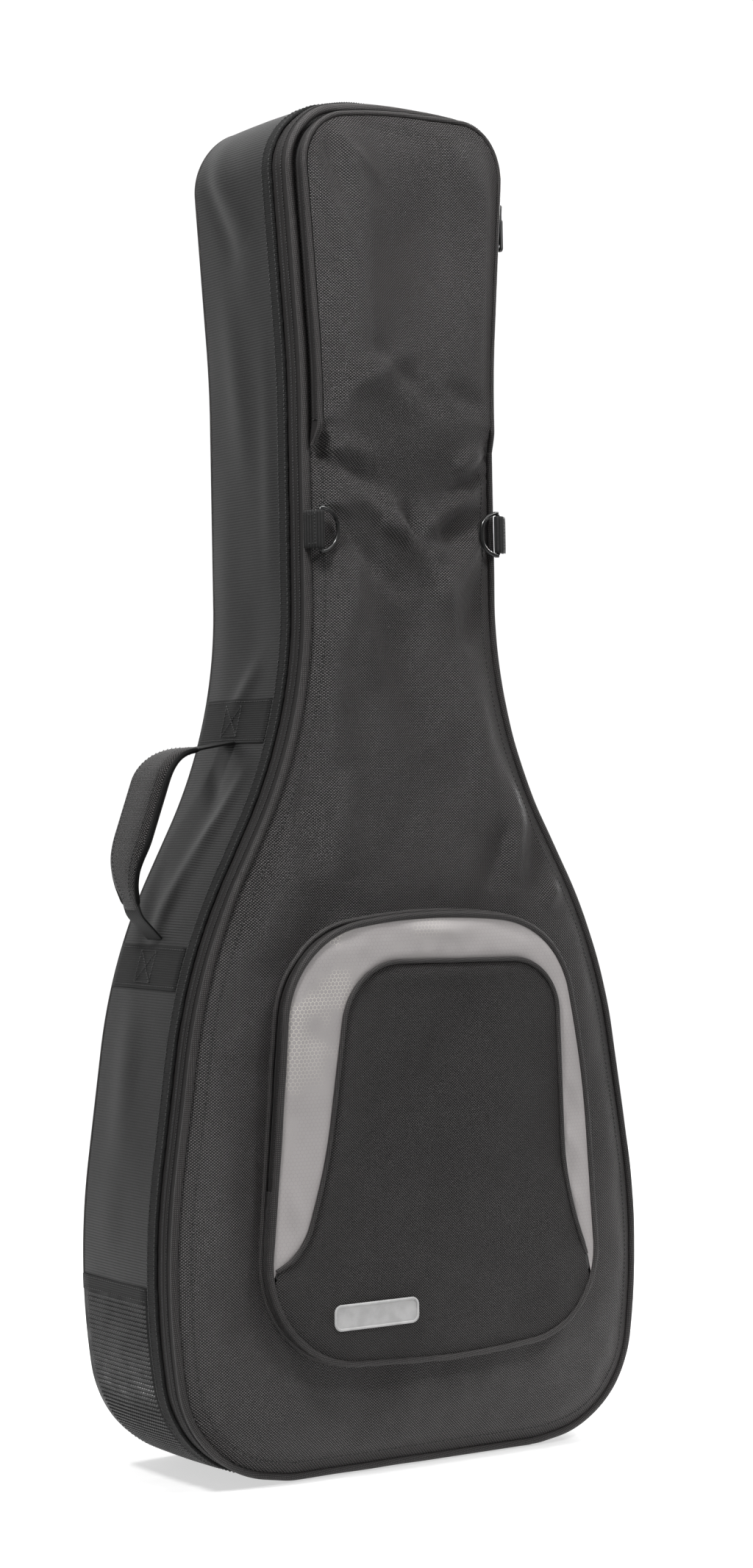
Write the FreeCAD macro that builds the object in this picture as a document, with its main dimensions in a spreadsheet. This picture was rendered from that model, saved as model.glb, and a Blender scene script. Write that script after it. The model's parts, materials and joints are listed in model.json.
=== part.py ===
"""Padded gig bag for an acoustic guitar, in millimetres.

+Z is up, the front with its two pockets faces -Y, and +X is the bag's right as seen from the front.
The origin is on the ground under the middle of the base, at half the bag's depth.
All the bag's outlines follow one seam line, a guitar shape of straight runs and tangent arcs.
"""
import FreeCAD, Part
import math
import os

from FreeCAD import Placement, Rotation, Vector

# ---------------------------------------------------------------- driving dimensions
SIZES = {
    # depth stations, front to back
    "front_seam_y": -76.0,
    "cover_side_y": -72.9,
    "split_y": -61.0,
    "split_gap": 0.3,
    "tape_rear_y": -50.0,
    "binding_rear_y": -36.0,
    "back_foam_y": 66.0,
    "back_fabric_y": 71.0,
    "back_face_y": 73.5,
    # wall layers, measured inwards from the seam line
    "fabric_out": -1.5,
    "fabric_in": 0.7,
    "foam_in": 6.5,
    "lining_in": 7.3,
    "tape_out": -0.5,
    "coil_out": -1.4,
    "coil_width": 1.6,
    "binding_out": -2.3,
    "guard_out": -3.9,
    "trim_out": -2.7,
    # pipings
    "piping_r": 3.0,
    "rear_piping_r": 2.0,
    "pocket_piping_r": 2.4,
    "pocket_base_piping_r": 2.2,
    "head_piping_r": 2.2,
    "arch_piping_r": 1.6,
    # crowned front panel
    "crown_y": -86.0,
    "crown_inset": 38.0,
    "pad_back_y": -71.0,
    # scuff guard and its trim
    "guard_top_z": 146.0,
    "trim_height": 10.0,
    # hinge strip of the cover, on the right side
    "hinge_low_z": 100.0,
    "hinge_high_z": 250.0,
    # head pocket
    "head_bottom_z": 835.0,
    "head_inset": 5.7,
    "head_base_y": -78.2,
    "head_split_y": -82.95,
    "head_tape_front_y": -87.2,
    "head_seam_y": -89.5,
    "head_foam_y": -90.6,
    "head_fabric_y": -92.8,
    "head_face_y": -94.0,
    # lower pocket
    "fold_z": 244.0,
    "pocket_base_y": -86.1,
    "pocket_split_y": -94.3,
    "pocket_tape_front_y": -100.5,
    "pocket_seam_y": -103.0,
    "pocket_foam_y": -100.9,
    "pocket_fabric_y": -104.8,
    "pocket_face_y": -106.0,
    "arch_piping_y": -107.65,
    # label
    "label_x": -95.0,
    "label_z": 120.0,
    "label_width": 78.0,
    "label_height": 20.0,
    "label_depth": 0.6,
    # webbing
    "webbing_thick": 1.6,
    # D rings
    "ring_wire_r": 1.6,
    "ring_reach": 16.6,
    "ring_height": 34.6,
    "ring_z": 749.5,
    "ring_y": -86.0,
    "ring_left_x": -81.5,
    "ring_right_x": 89.0,
    "tab_height": 30.4,
    "tab_reach": 10.5,
    # handle
    "handle_y": 20.0,
    "grip_width": 50.0,
    "grip_thick": 12.0,
    "handle_web_width": 26.0,
    "handle_web_thick": 2.4,
    "patch_height": 35.0,
    "patch_upper_z": 583.0,
    "patch_lower_z": 390.0,
    "patch_thick": 1.4,
    # inside
    "cradle_width": 96.0,
    "cradle_depth": 45.0,
    "cradle_height": 58.0,
    "cradle_z": 690.0,
    "cradle_slot_width": 62.0,
    "cradle_slot_depth": 30.0,
    "neck_strap_width": 22.0,
    "neck_strap_length": 76.0,
    "base_pad_width": 190.0,
    "base_pad_depth": 110.0,
    "base_pad_height": 12.0,
    "base_pad_z": 11.8,
    # back
    "anchor_z": 905.0,
    "anchor_height": 26.0,
    "anchor_half_width": 84.0,
    "anchor_thick": 2.0,
    "strap_x": 42.0,
    "strap_width": 56.0,
    "strap_thick": 10.0,
    "strap_y": 77.8,
    "strap_top_z": 884.0,
    "strap_bottom_z": 410.0,
    "lock_width": 40.0,
    "lock_length": 34.0,
    "lock_thick": 4.0,
    "lock_slot": 27.0,
    "tail_width": 25.0,
    "tail_top_z": 404.0,
    "tail_bottom_z": 112.0,
    "tab_patch_size": 44.0,
    "loop_width": 25.0,
    "loop_z": 1004.0,
    "loop_length": 56.0,
    "loop_stand": 15.0,
    # zip sliders and pullers
    "slider_length": 12.0,
    "slider_width": 7.0,
    "slider_height": 3.2,
    "crown_width": 2.2,
    "crown_gap": 2.4,
    "crown_thick": 1.0,
    "bar_r": 0.8,
    "puller_length": 34.0,
    "puller_width": 7.6,
    "puller_thick": 2.2,
    "puller_hole_r": 1.9,
    "main_upper_z": 800.0,
    "main_lower_z": 728.0,
    "head_slider_z": 1016.0,
    "pocket_slider_z": 256.0,
}

doc = FreeCAD.newDocument("GigBag")
sheet = doc.addObject("Spreadsheet::Sheet", "Dims")
for row, (alias, value) in enumerate(SIZES.items(), start=1):
    sheet.set(f"A{row}", alias)
    sheet.set(f"B{row}", str(value))
    sheet.setAlias(f"B{row}", alias)
doc.recompute()


def size(alias):
    """A driving dimension, read from the sheet."""
    return float(sheet.get(alias))


PARTS = []


def keep(obj, label):
    """Names a finished sub-part and marks it for writing."""
    obj.Label = label
    PARTS.append(obj)
    return obj


# ---------------------------------------------------------------- outlines
# Corners of each outline in X and Z, with the radius that rounds each one.
BAG_SIDE = [
    (118.6, 3.9, 69.0),
    (204.7, 18.5, 89.0),
    (224.6, 167.6, 568.0),
    (188.9, 408.5, 431.0),
    (87.6, 599.4, 389.0),
    (87.6, 880.4, 900.0),
    (97.8, 1027.4, 500.0),
    (101.2, 1079.7, 47.0),
]
BAG_TOP = [(0.0, 1091.5, 400.0)]
BAG = BAG_SIDE + BAG_TOP + [(-x, z, r) for x, z, r in reversed(BAG_SIDE)]

POCKET = [
    (29.6, 86.0, 600.0),
    (165.2, 97.6, 72.0),
    (161.9, 174.7, 900.0),
    (154.2, 308.3, 800.0),
    (130.8, 431.5, 78.0),
    (5.6, 447.1, 494.0),
    (-126.7, 428.5, 81.0),
    (-140.6, 267.3, 800.0),
    (-157.8, 95.6, 83.0),
]

ARCH = [
    (152.0, 158.0, 0.0),
    (128.4, 208.5, 246.0),
    (124.8, 402.8, 45.0),
    (-73.3, 407.4, 53.0),
    (-97.7, 252.4, 386.0),
    (-120.0, 183.7, 57.0),
    (-144.0, 170.5, 0.0),
]


class Run:
    """A straight stretch of an outline, from a to b."""

    def __init__(self, a, b):
        self.a, self.b = a, b


class Bend:
    """An arc of an outline, tangent to the runs beside it."""

    def __init__(self, centre, radius, start, turn):
        self.centre, self.radius, self.start, self.turn = centre, radius, start, turn

    def point(self, share):
        angle = self.start + share * self.turn
        return self.centre[0] + self.radius * math.cos(angle), self.centre[1] + self.radius * math.sin(angle)


def rounded(corners, inset=0.0, closed=True):
    """Runs and bends of an outline, moved inwards (to the left of its direction) by inset."""
    bends = []
    count = len(corners)
    for i in range(count) if closed else range(1, count - 1):
        (ax, az, _), (bx, bz, radius), (cx, cz, _) = corners[i - 1], corners[i], corners[(i + 1) % count]
        before = math.atan2(bz - az, bx - ax)
        after = math.atan2(cz - bz, cx - bx)
        turn = (after - before + math.pi) % (2 * math.pi) - math.pi
        side = 1.0 if turn > 0 else -1.0
        back = radius * math.tan(abs(turn) / 2)
        centre = (
            bx - back * math.cos(before) - side * radius * math.sin(before),
            bz - back * math.sin(before) + side * radius * math.cos(before),
        )
        bends.append(Bend(centre, radius - side * inset, before - side * math.pi / 2, turn))
    if closed:
        ends = [(bends[-1].point(1), bends[0].point(0))]
    else:
        ends = [(shifted(corners[0], corners[1], inset), bends[0].point(0))]
    pieces = [Run(*ends[0])]
    for i, bend in enumerate(bends):
        pieces.append(bend)
        if i + 1 < len(bends):
            pieces.append(Run(bend.point(1), bends[i + 1].point(0)))
    if not closed:
        pieces.append(Run(bends[-1].point(1), shifted(corners[-1], corners[-2], -inset)))
    return [p for p in pieces if isinstance(p, Bend) or math.dist(p.a, p.b) > 1e-6]


def shifted(end, beside, inset):
    """The end of an open outline, moved to the left of its direction by inset."""
    along = math.atan2(beside[1] - end[1], beside[0] - end[0])
    return end[0] - inset * math.sin(along), end[1] + inset * math.cos(along)


def edges(pieces, y):
    """The outline as edges in the plane at y."""
    made = []
    for p in pieces:
        if isinstance(p, Run):
            made.append(Part.LineSegment(Vector(p.a[0], y, p.a[1]), Vector(p.b[0], y, p.b[1])).toShape())
        else:
            a, m, b = p.point(0), p.point(0.5), p.point(1)
            made.append(Part.Arc(*[Vector(q[0], y, q[1]) for q in (a, m, b)]).toShape())
    return made


def wire(corners, inset, y):
    """A closed outline as a wire in the plane at y."""
    return Part.Wire(edges(rounded(corners, inset), y))


def draw(sketch, pieces):
    """Adds an outline to a sketch whose first axis is X and second is Z."""
    for p in pieces:
        if isinstance(p, Run):
            sketch.addGeometry(Part.LineSegment(Vector(*p.a, 0), Vector(*p.b, 0)), False)
        else:
            circle = Part.Circle(Vector(*p.centre, 0), Vector(0, 0, 1), p.radius)
            first, last = sorted((p.start, p.start + p.turn))
            sketch.addGeometry(Part.ArcOfCircle(circle, first, last), False)


# ---------------------------------------------------------------- features
def new_body(label):
    return keep(doc.addObject("PartDesign::Body", label.title().replace("_", "")), label)


def new_sketch(body, name, plane="XZ_Plane"):
    sketch = body.newObject("Sketcher::SketchObject", body.Name + name)
    origin = [f for f in body.Origin.OriginFeatures if f.Role == plane][0]
    sketch.AttachmentSupport = [(origin, "")]
    sketch.MapMode = "FlatFace"
    return sketch


def pad(body, sketch, length, both_ways=False):
    """Pads a sketch by an expression; a sketch in XZ pads towards -Y."""
    feature = body.newObject("PartDesign::Pad", sketch.Name + "Pad")
    feature.Profile = sketch
    feature.setExpression("Length", length)
    feature.Midplane = both_ways
    doc.recompute()
    return feature


def rectangle(sketch, x0, z0, x1, z1):
    points = [(x0, z0), (x1, z0), (x1, z1), (x0, z1)]
    draw(sketch, [Run(a, b) for a, b in zip(points, points[1:] + points[:1])])


def ring(label, corners, out, inner, rear, depth):
    """A wall that follows an outline, from rear forwards by depth, padded from a sketch of two outlines."""
    body = new_body(label)
    sketch = new_sketch(body, "Outline")
    draw(sketch, rounded(corners, size(out)))
    draw(sketch, rounded(corners, size(inner)))
    pad(body, sketch, depth)
    body.setExpression("Placement.Base.y", rear)
    return body


def plate(label, corners, inset, rear, depth):
    """A flat sheet with an outline, from rear forwards by depth."""
    body = new_body(label)
    sketch = new_sketch(body, "Outline")
    draw(sketch, rounded(corners, inset))
    pad(body, sketch, depth)
    body.setExpression("Placement.Base.y", rear)
    return body


def box(label, at, lengths):
    """A box whose corner and lengths are expressions."""
    obj = doc.addObject("Part::Box", label.title().replace("_", ""))
    for axis, value in zip("xyz", at):
        obj.setExpression("Placement.Base." + axis, value)
    for name, value in zip(("Length", "Width", "Height"), lengths):
        obj.setExpression(name, value)
    return keep(obj, label)


def feature(label, shape):
    """A sub-part whose shape is computed from the sheet's sizes."""
    obj = doc.addObject("Part::Feature", label.title().replace("_", ""))
    obj.Shape = shape
    obj.Placement = Placement()
    return keep(obj, label)


def slab(x0, x1, y0, y1, z0, z1):
    return Part.makeBox(x1 - x0, y1 - y0, z1 - z0, Vector(x0, y0, z0))


WIDE = 300.0
TALL = 1200.0


def above(z, x0=-WIDE, x1=WIDE):
    """All the space above a height."""
    return slab(x0, x1, -WIDE, WIDE, z, TALL)


def below(z):
    return slab(-WIDE, WIDE, -WIDE, WIDE, -TALL, z)


def between(z0, z1, x0=-WIDE, x1=WIDE):
    return slab(x0, x1, -WIDE, WIDE, z0, z1)


def wall(corners, out, inner, front, rear):
    """A band that follows an outline, as a shape."""
    outside = Part.Face(wire(corners, out, front)).extrude(Vector(0, rear - front, 0))
    inside = Part.Face(wire(corners, inner, front)).extrude(Vector(0, rear - front, 0))
    return outside.cut(inside)


def disc(corners, inset, front, rear):
    """A plate with an outline, as a shape."""
    return Part.Face(wire(corners, inset, front)).extrude(Vector(0, rear - front, 0))


def one(shape):
    """The single solid that a cut or a common leaves, or all of them together."""
    clean = shape.removeSplitter()
    return clean.Solids[0] if len(clean.Solids) == 1 else Part.makeCompound(clean.Solids)


def crowned(stations):
    """A solid lofted through the bag's outline at several (inset, y) stations."""
    return Part.makeLoft([wire(BAG, inset, y) for inset, y in stations], True, True)


def tube(pieces, y, radius):
    """A round cord that follows an outline."""
    path = Part.Wire(edges(pieces, y))
    start = path.Edges[0].valueAt(path.Edges[0].FirstParameter)
    ahead = path.Edges[0].tangentAt(path.Edges[0].FirstParameter)
    section = Part.Wire(Part.makeCircle(radius, start, ahead))
    return path.makePipeShell([section], True, False)


# Heights at which the lengths of foam strip butt together.
FOAM_JOINTS = (24.0, 110.0, 240.0, 370.0, 480.0, 590.0, 700.0, 860.0, 1030.0)


def lengths(foam):
    """Foam cut into the lengths that it is laid in."""
    levels = (-TALL,) + FOAM_JOINTS + (TALL,)
    cut = [foam.common(between(low, high)) for low, high in zip(levels, levels[1:])]
    return Part.makeCompound([solid for part in cut for solid in part.Solids])


half_gap = size("split_gap") / 2
split = size("split_y")
COVER_EDGE = split - half_gap
SHELL_EDGE = split + half_gap

# ---------------------------------------------------------------- shell: side wall and back
ring("gusset_fabric", BAG, "fabric_out", "fabric_in", "Dims.back_fabric_y",
     "Dims.back_fabric_y - Dims.tape_rear_y")
feature("gusset_foam", lengths(
    wall(BAG, size("fabric_in"), size("foam_in"), SHELL_EDGE, size("back_foam_y"))))
ring("binding_tape", BAG, "binding_out", "fabric_out", "Dims.binding_rear_y",
     "Dims.binding_rear_y - Dims.tape_rear_y")
plate("back_foam", BAG, size("fabric_in"), "Dims.back_fabric_y", "Dims.back_fabric_y - Dims.back_foam_y")
BACK_INSET = 2.5
plate("back_fabric", BAG, BACK_INSET, "Dims.back_face_y", "Dims.back_face_y - Dims.back_fabric_y")

lining = plate("lining", BAG, size("foam_in"), "Dims.back_foam_y",
               "Dims.back_foam_y - Dims.split_y - Dims.split_gap / 2")
hollow = new_sketch(lining, "Hollow")
draw(hollow, rounded(BAG, size("lining_in")))
room = lining.newObject("PartDesign::Pocket", "LiningHollow")
room.Profile = hollow
hollow.setExpression("AttachmentOffset.Base.z", "Dims.lining_in - Dims.foam_in")
room.setExpression("Length", "Dims.back_foam_y - Dims.split_y")
room.Reversed = True
solid_volume = lining.Shape.Volume
doc.recompute()
if lining.Shape.Volume > 0.5 * solid_volume:
    raise RuntimeError("the lining's hollow cuts the wrong way")


def zip_half(label, rear, front, coil_at):
    """Half of the main zip: a flat tape, with its coil as a ridge along the edge at the split."""
    body = ring(label, BAG, "tape_out", "fabric_in", rear, f"{rear} - ({front})")
    sketch = new_sketch(body, "Coil")
    draw(sketch, rounded(BAG, size("coil_out")))
    draw(sketch, rounded(BAG, size("tape_out")))
    sketch.setExpression("AttachmentOffset.Base.z", coil_at)
    pad(body, sketch, "Dims.coil_width")
    return body


zip_half("main_zip_rear", "Dims.tape_rear_y", "Dims.split_y + Dims.split_gap / 2",
         "Dims.tape_rear_y - Dims.split_y - Dims.split_gap / 2 - Dims.coil_width")

rear_piping_inset = 0.5
feature("rear_piping", tube(rounded(BAG, rear_piping_inset), size("back_fabric_y") + size("rear_piping_r"),
                            size("rear_piping_r")))

guard = wall(BAG, size("guard_out"), size("fabric_out"), size("binding_rear_y"), size("back_fabric_y"))
feature("scuff_guard", one(guard.common(below(size("guard_top_z")))))
trim = wall(BAG, size("trim_out"), size("fabric_out"), size("binding_rear_y"), size("back_fabric_y"))
feature("guard_trim", one(trim.common(
    between(size("guard_top_z"), size("guard_top_z") + size("trim_height")))))

# the hinge cloth lies over the coil and stops short of the tapes' stitched edges
hinge_out, edge_gap = -2.2, 0.2
hinge_zone = between(size("hinge_low_z"), size("hinge_high_z"), 0.0, WIDE)
coil_out = size("coil_out")
feature("hinge_strip_rear", one(
    wall(BAG, hinge_out, coil_out, SHELL_EDGE, size("tape_rear_y") - edge_gap).common(hinge_zone)))
feature("hinge_strip_front", one(
    wall(BAG, hinge_out, coil_out, size("cover_side_y") + edge_gap, COVER_EDGE).common(hinge_zone)))

patch = wall(BAG, size("fabric_out") - size("patch_thick"), size("fabric_out"), size("binding_rear_y"),
             size("back_fabric_y"))
left = {"x0": -WIDE, "x1": 0.0}
patches = [
    one(patch.common(between(z, z + size("patch_height"), **left)))
    for z in (size("patch_upper_z"), size("patch_lower_z"))
]

# ---------------------------------------------------------------- cover: crowned front panel
# stations of the crown as inset from the seam line and y: the cloth's face, and the foam under it
PANEL_THICK = 1.2
FABRIC_PATH = [(3.0, -73.0), (3.0, -76.5), (14.0, -81.0), (size("crown_inset"), size("crown_y"))]
FOAM_PATH = [(4.2, -73.0), (4.2, -75.7), (14.4, -79.8), (size("crown_inset"), size("crown_y") + PANEL_THICK)]
feature("front_fabric", one(crowned(FABRIC_PATH).cut(crowned(FOAM_PATH))))
pad_back = size("pad_back_y")
foam_dome = crowned([(FOAM_PATH[0][0], size("cover_side_y"))] + FOAM_PATH[1:])
front_pad = one(foam_dome.fuse(disc(BAG, size("fabric_in"), size("cover_side_y"), pad_back)))
cover_side = wall(BAG, size("fabric_in"), size("foam_in"), pad_back, COVER_EDGE)
feature("front_foam", Part.makeCompound(lengths(front_pad).Solids + lengths(cover_side).Solids))
lining_thick = size("lining_in") - size("foam_in")
feature("front_lining", one(
    disc(BAG, size("foam_in"), pad_back, COVER_EDGE)
    .cut(disc(BAG, size("lining_in"), pad_back + lining_thick, COVER_EDGE))))
feature("front_piping", tube(rounded(BAG), size("front_seam_y"), size("piping_r")))
zip_half("main_zip_front", "Dims.split_y - Dims.split_gap / 2", "Dims.cover_side_y", "0")

# ---------------------------------------------------------------- head pocket
TAPE_HALF = 0.7
head_tape_out = size("head_inset") - TAPE_HALF
head_tape_in = size("head_inset") + TAPE_HALF
head_zone = above(size("head_bottom_z"))
head_split = size("head_split_y")


def head_band(front, rear):
    return one(wall(BAG, head_tape_out, head_tape_in, front, rear).common(head_zone))


feature("head_zip_rear", head_band(head_split + half_gap, size("head_base_y")))
feature("head_zip_front", head_band(size("head_tape_front_y"), head_split - half_gap))
head_cord = tube(rounded(BAG, size("head_inset")), size("head_seam_y"), size("head_piping_r"))
feature("head_piping", one(head_cord.common(head_zone)))
head_edge = size("head_inset") + size("head_piping_r") + 0.1
feature("head_foam", one(disc(BAG, head_edge, size("head_fabric_y"), size("head_foam_y")).common(head_zone)))
feature("head_panel", one(disc(BAG, head_edge, size("head_face_y"), size("head_fabric_y")).common(head_zone)))

# ---------------------------------------------------------------- lower pocket
fold = size("fold_z")
FLAP = above(fold + half_gap)
FIXED = below(fold - half_gap)
pocket_wall_in = 1.4
panel_edge = 0.7 + size("pocket_piping_r") + 0.1
pocket_split = size("pocket_split_y")


def pocket_band(front, rear):
    return wall(POCKET, 0.0, pocket_wall_in, front, rear)


base_piping_y = size("pocket_base_y") - size("pocket_base_piping_r")
feature("pocket_base_piping", tube(rounded(POCKET, -size("pocket_base_piping_r") - 0.1), base_piping_y,
                                   size("pocket_base_piping_r")))
feature("pocket_wall", one(pocket_band(size("pocket_tape_front_y"), size("pocket_base_y")).common(FIXED)))
feature("pocket_zip_rear", one(
    pocket_band(pocket_split + half_gap, size("pocket_base_y")).common(above(fold + half_gap))))
feature("pocket_zip_front", one(
    pocket_band(size("pocket_tape_front_y"), pocket_split - half_gap).common(FLAP)))

pocket_cord = tube(rounded(POCKET, 0.7), size("pocket_seam_y"), size("pocket_piping_r"))
feature("pocket_piping_upper", one(pocket_cord.common(FLAP)))
feature("pocket_piping_lower", one(pocket_cord.common(FIXED)))

padding = disc(POCKET, panel_edge, size("pocket_fabric_y"), size("pocket_foam_y"))
feature("pocket_foam_upper", one(padding.common(FLAP)))
feature("pocket_foam_lower", one(padding.common(FIXED)))

face = disc(POCKET, panel_edge, size("pocket_face_y"), size("pocket_fabric_y"))
arch_line = Part.Wire(edges(rounded(ARCH, 0.0, closed=False), size("pocket_face_y")) + [
    Part.LineSegment(Vector(ARCH[-1][0], size("pocket_face_y"), ARCH[-1][1]),
                     Vector(ARCH[0][0], size("pocket_face_y"), ARCH[0][1])).toShape()])
arch_prism = Part.Face(arch_line).extrude(Vector(0, size("pocket_fabric_y") - size("pocket_face_y"), 0))
feature("arch_panel", one(face.common(FLAP).cut(arch_prism)))
feature("centre_panel", one(face.common(FLAP).common(arch_prism)))
feature("pocket_face_lower", one(face.common(FIXED)))

arch_cord = tube(rounded(ARCH, 0.0, closed=False), size("arch_piping_y"), size("arch_piping_r"))
feature("arch_piping_upper", one(arch_cord.common(FLAP)))
feature("arch_piping_lower", one(arch_cord.common(FIXED)))

box("pocket_label", ("Dims.label_x", "Dims.pocket_face_y - Dims.label_depth", "Dims.label_z"),
    ("Dims.label_width", "Dims.label_depth", "Dims.label_height"))

# ---------------------------------------------------------------- D rings and their tabs
RING_CORNER = 3.0


def ring_outline(direction):
    """A D shape whose straight bar stands at x = 0 and whose bow reaches in one direction."""
    reach = size("ring_reach") * direction
    half = size("ring_height") / 2
    bow = min(abs(reach), half) - 0.2
    corners = [(0.0, -half, RING_CORNER), (reach, -half, bow), (reach, half, bow), (0.0, half, RING_CORNER)]
    return corners if direction > 0 else corners[::-1]


def d_ring(label, x_alias, direction):
    body = doc.addObject("Part::Feature", label.title().replace("_", ""))
    body.Shape = tube(rounded(ring_outline(direction)), 0.0, size("ring_wire_r"))
    body.Placement = Placement(Vector(size(x_alias), size("ring_y"), size("ring_z")), Rotation())
    return keep(body, label)


d_ring("d_ring_left", "ring_left_x", 1.0)
d_ring("d_ring_right", "ring_right_x", -1.0)


def ring_tab(x_bar, direction):
    """A webbing loop round the ring's bar, with both its ends sewn down beside it."""
    hole = size("ring_wire_r") + 0.35
    outer = hole + size("webbing_thick")
    y = size("ring_y")
    z0 = size("ring_z") - size("tab_height") / 2
    start = Vector(x_bar, y, z0)
    eye = Part.makeCylinder(outer, size("tab_height"), start)
    reach = size("tab_reach") * direction
    x0, x1 = sorted((x_bar, x_bar - reach))
    tongue = slab(x0, x1, y - outer, y + outer, z0, z0 + size("tab_height"))
    x0, x1 = sorted((x_bar - 0.4 * reach, x_bar - reach))
    foot = slab(x0, x1, y, size("front_seam_y") - size("piping_r") - 0.05, z0, z0 + size("tab_height"))
    bore = Part.makeCylinder(hole, size("tab_height"), start)
    return eye.fuse([tongue, foot]).cut(bore).removeSplitter()


tabs = [ring_tab(size("ring_left_x"), 1.0), ring_tab(size("ring_right_x"), -1.0)]
feature("ring_tabs", Part.makeCompound([t.Solids[0] for t in tabs]))

# ---------------------------------------------------------------- handle
# The handle's centre line, from the upper patch out and down to the lower patch.
HANDLE_TOP = (-105.0, 583.6, 0.0)
HANDLE_PATH = [
    HANDLE_TOP, (-165.0, 572.0, 30.0), (-203.5, 478.0, 46.0), (-196.0, 446.0, 16.0), (-176.5, 424.5, 0.0),
]
STUB = 12.0
FLEX = 6.0


def along(a, b, distance):
    """The point at a distance from a towards b."""
    share = distance / math.dist(a[:2], b[:2])
    return a[0] + share * (b[0] - a[0]), a[1] + share * (b[1] - a[1]), 0.0


GRIP_TOP = along(HANDLE_TOP, HANDLE_PATH[1], 43.8)
GRIP_BOTTOM = along(HANDLE_PATH[2], HANDLE_PATH[3], 18.9)


def strip(corners, thickness, width):
    """Webbing or padding that follows a line, centred on the handle's depth."""
    half = thickness / 2
    y = size("handle_y") - width / 2
    if len(corners) == 2:
        (ax, az, _), (bx, bz, _) = corners
        one_side = [Run(shifted((ax, az), (bx, bz), half), shifted((bx, bz), (ax, az), -half))]
        other_side = [Run(shifted((ax, az), (bx, bz), -half), shifted((bx, bz), (ax, az), half))]
    else:
        one_side = rounded(corners, half, closed=False)
        other_side = rounded(corners, -half, closed=False)
    caps = [Run(one_side[0].a, other_side[0].a), Run(one_side[-1].b, other_side[-1].b)]
    outline = Part.Wire(Part.__sortEdges__(edges(one_side + other_side + caps, y)))
    return Part.Face(outline).extrude(Vector(0, width, 0))


web = size("handle_web_thick")
web_width = size("handle_web_width")
path_end = HANDLE_PATH[-1]
stub_top = along(HANDLE_TOP, HANDLE_PATH[1], STUB)
stub_bottom = along(path_end, HANDLE_PATH[3], STUB)
flex_top = along(HANDLE_TOP, HANDLE_PATH[1], STUB + FLEX)
flex_bottom = along(path_end, HANDLE_PATH[3], STUB + FLEX)
stubs = [strip([HANDLE_TOP, stub_top], web, web_width), strip([path_end, stub_bottom], web, web_width)]
gusset_wall = wall(BAG, size("fabric_out"), size("fabric_in"), size("binding_rear_y"), size("back_fabric_y"))
feature("handle_anchors", Part.makeCompound([
    one(patch.fuse(stub.cut(gusset_wall)))
    for patch, stub in zip(patches, stubs)
]))
feature("handle_webbing", Part.makeCompound([
    strip([flex_top, GRIP_TOP], web, web_width),
    strip([GRIP_BOTTOM, HANDLE_PATH[3], flex_bottom], web, web_width),
]))
grip = strip([GRIP_TOP] + HANDLE_PATH[1:3] + [GRIP_BOTTOM], size("grip_thick"), size("grip_width"))
feature("handle_grip", grip)

# ---------------------------------------------------------------- inside
cradle = new_body("neck_cradle")
shape = new_sketch(cradle, "Section", "XY_Plane")
half_cradle = size("cradle_width") / 2
half_slot = size("cradle_slot_width") / 2
cradle_rear = size("back_foam_y") - (size("lining_in") - size("foam_in"))
cradle_front = cradle_rear - size("cradle_depth")
slot_rear = cradle_front + size("cradle_slot_depth")
corners = [
    (-half_cradle, cradle_front), (-half_slot, cradle_front), (-half_slot, slot_rear), (half_slot, slot_rear),
    (half_slot, cradle_front), (half_cradle, cradle_front), (half_cradle, cradle_rear), (-half_cradle, cradle_rear),
]
draw(shape, [Run(a, b) for a, b in zip(corners, corners[1:] + corners[:1])])
pad(cradle, shape, "Dims.cradle_height")
cradle.setExpression("Placement.Base.z", "Dims.cradle_z")

box("neck_strap",
    ("-Dims.neck_strap_length / 2",
     "Dims.back_foam_y - Dims.lining_in + Dims.foam_in - Dims.cradle_depth - 0.5 - Dims.webbing_thick",
     "Dims.cradle_z + (Dims.cradle_height - Dims.neck_strap_width) / 2"),
    ("Dims.neck_strap_length", "Dims.webbing_thick", "Dims.neck_strap_width"))
box("base_pad",
    ("-Dims.base_pad_width / 2", "-Dims.base_pad_depth / 2", "Dims.base_pad_z"),
    ("Dims.base_pad_width", "Dims.base_pad_depth", "Dims.base_pad_height"))

# ---------------------------------------------------------------- back
band_y = size("back_face_y")
band_back = band_y + size("anchor_thick")
band_low = size("anchor_z")
band = slab(-size("anchor_half_width"), size("anchor_half_width"), band_y, band_back, band_low,
            band_low + size("anchor_height"))
SIDES = {"left": -1.0, "right": 1.0}
TONGUE_GAP = 6.0
tongues = [
    slab(sign * size("strap_x") - size("tail_width") / 2, sign * size("strap_x") + size("tail_width") / 2,
         band_y, band_back, size("strap_top_z") + TONGUE_GAP, band_low)
    for sign in SIDES.values()
]
feature("strap_anchor", one(band.fuse(tongues)))


def rounded_bar(x0, x1, z0, z1, radius):
    """Corners of an upright rectangle with rounded ends."""
    return [(x0, z0, radius), (x1, z0, radius), (x1, z1, radius), (x0, z1, radius)]


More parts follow.
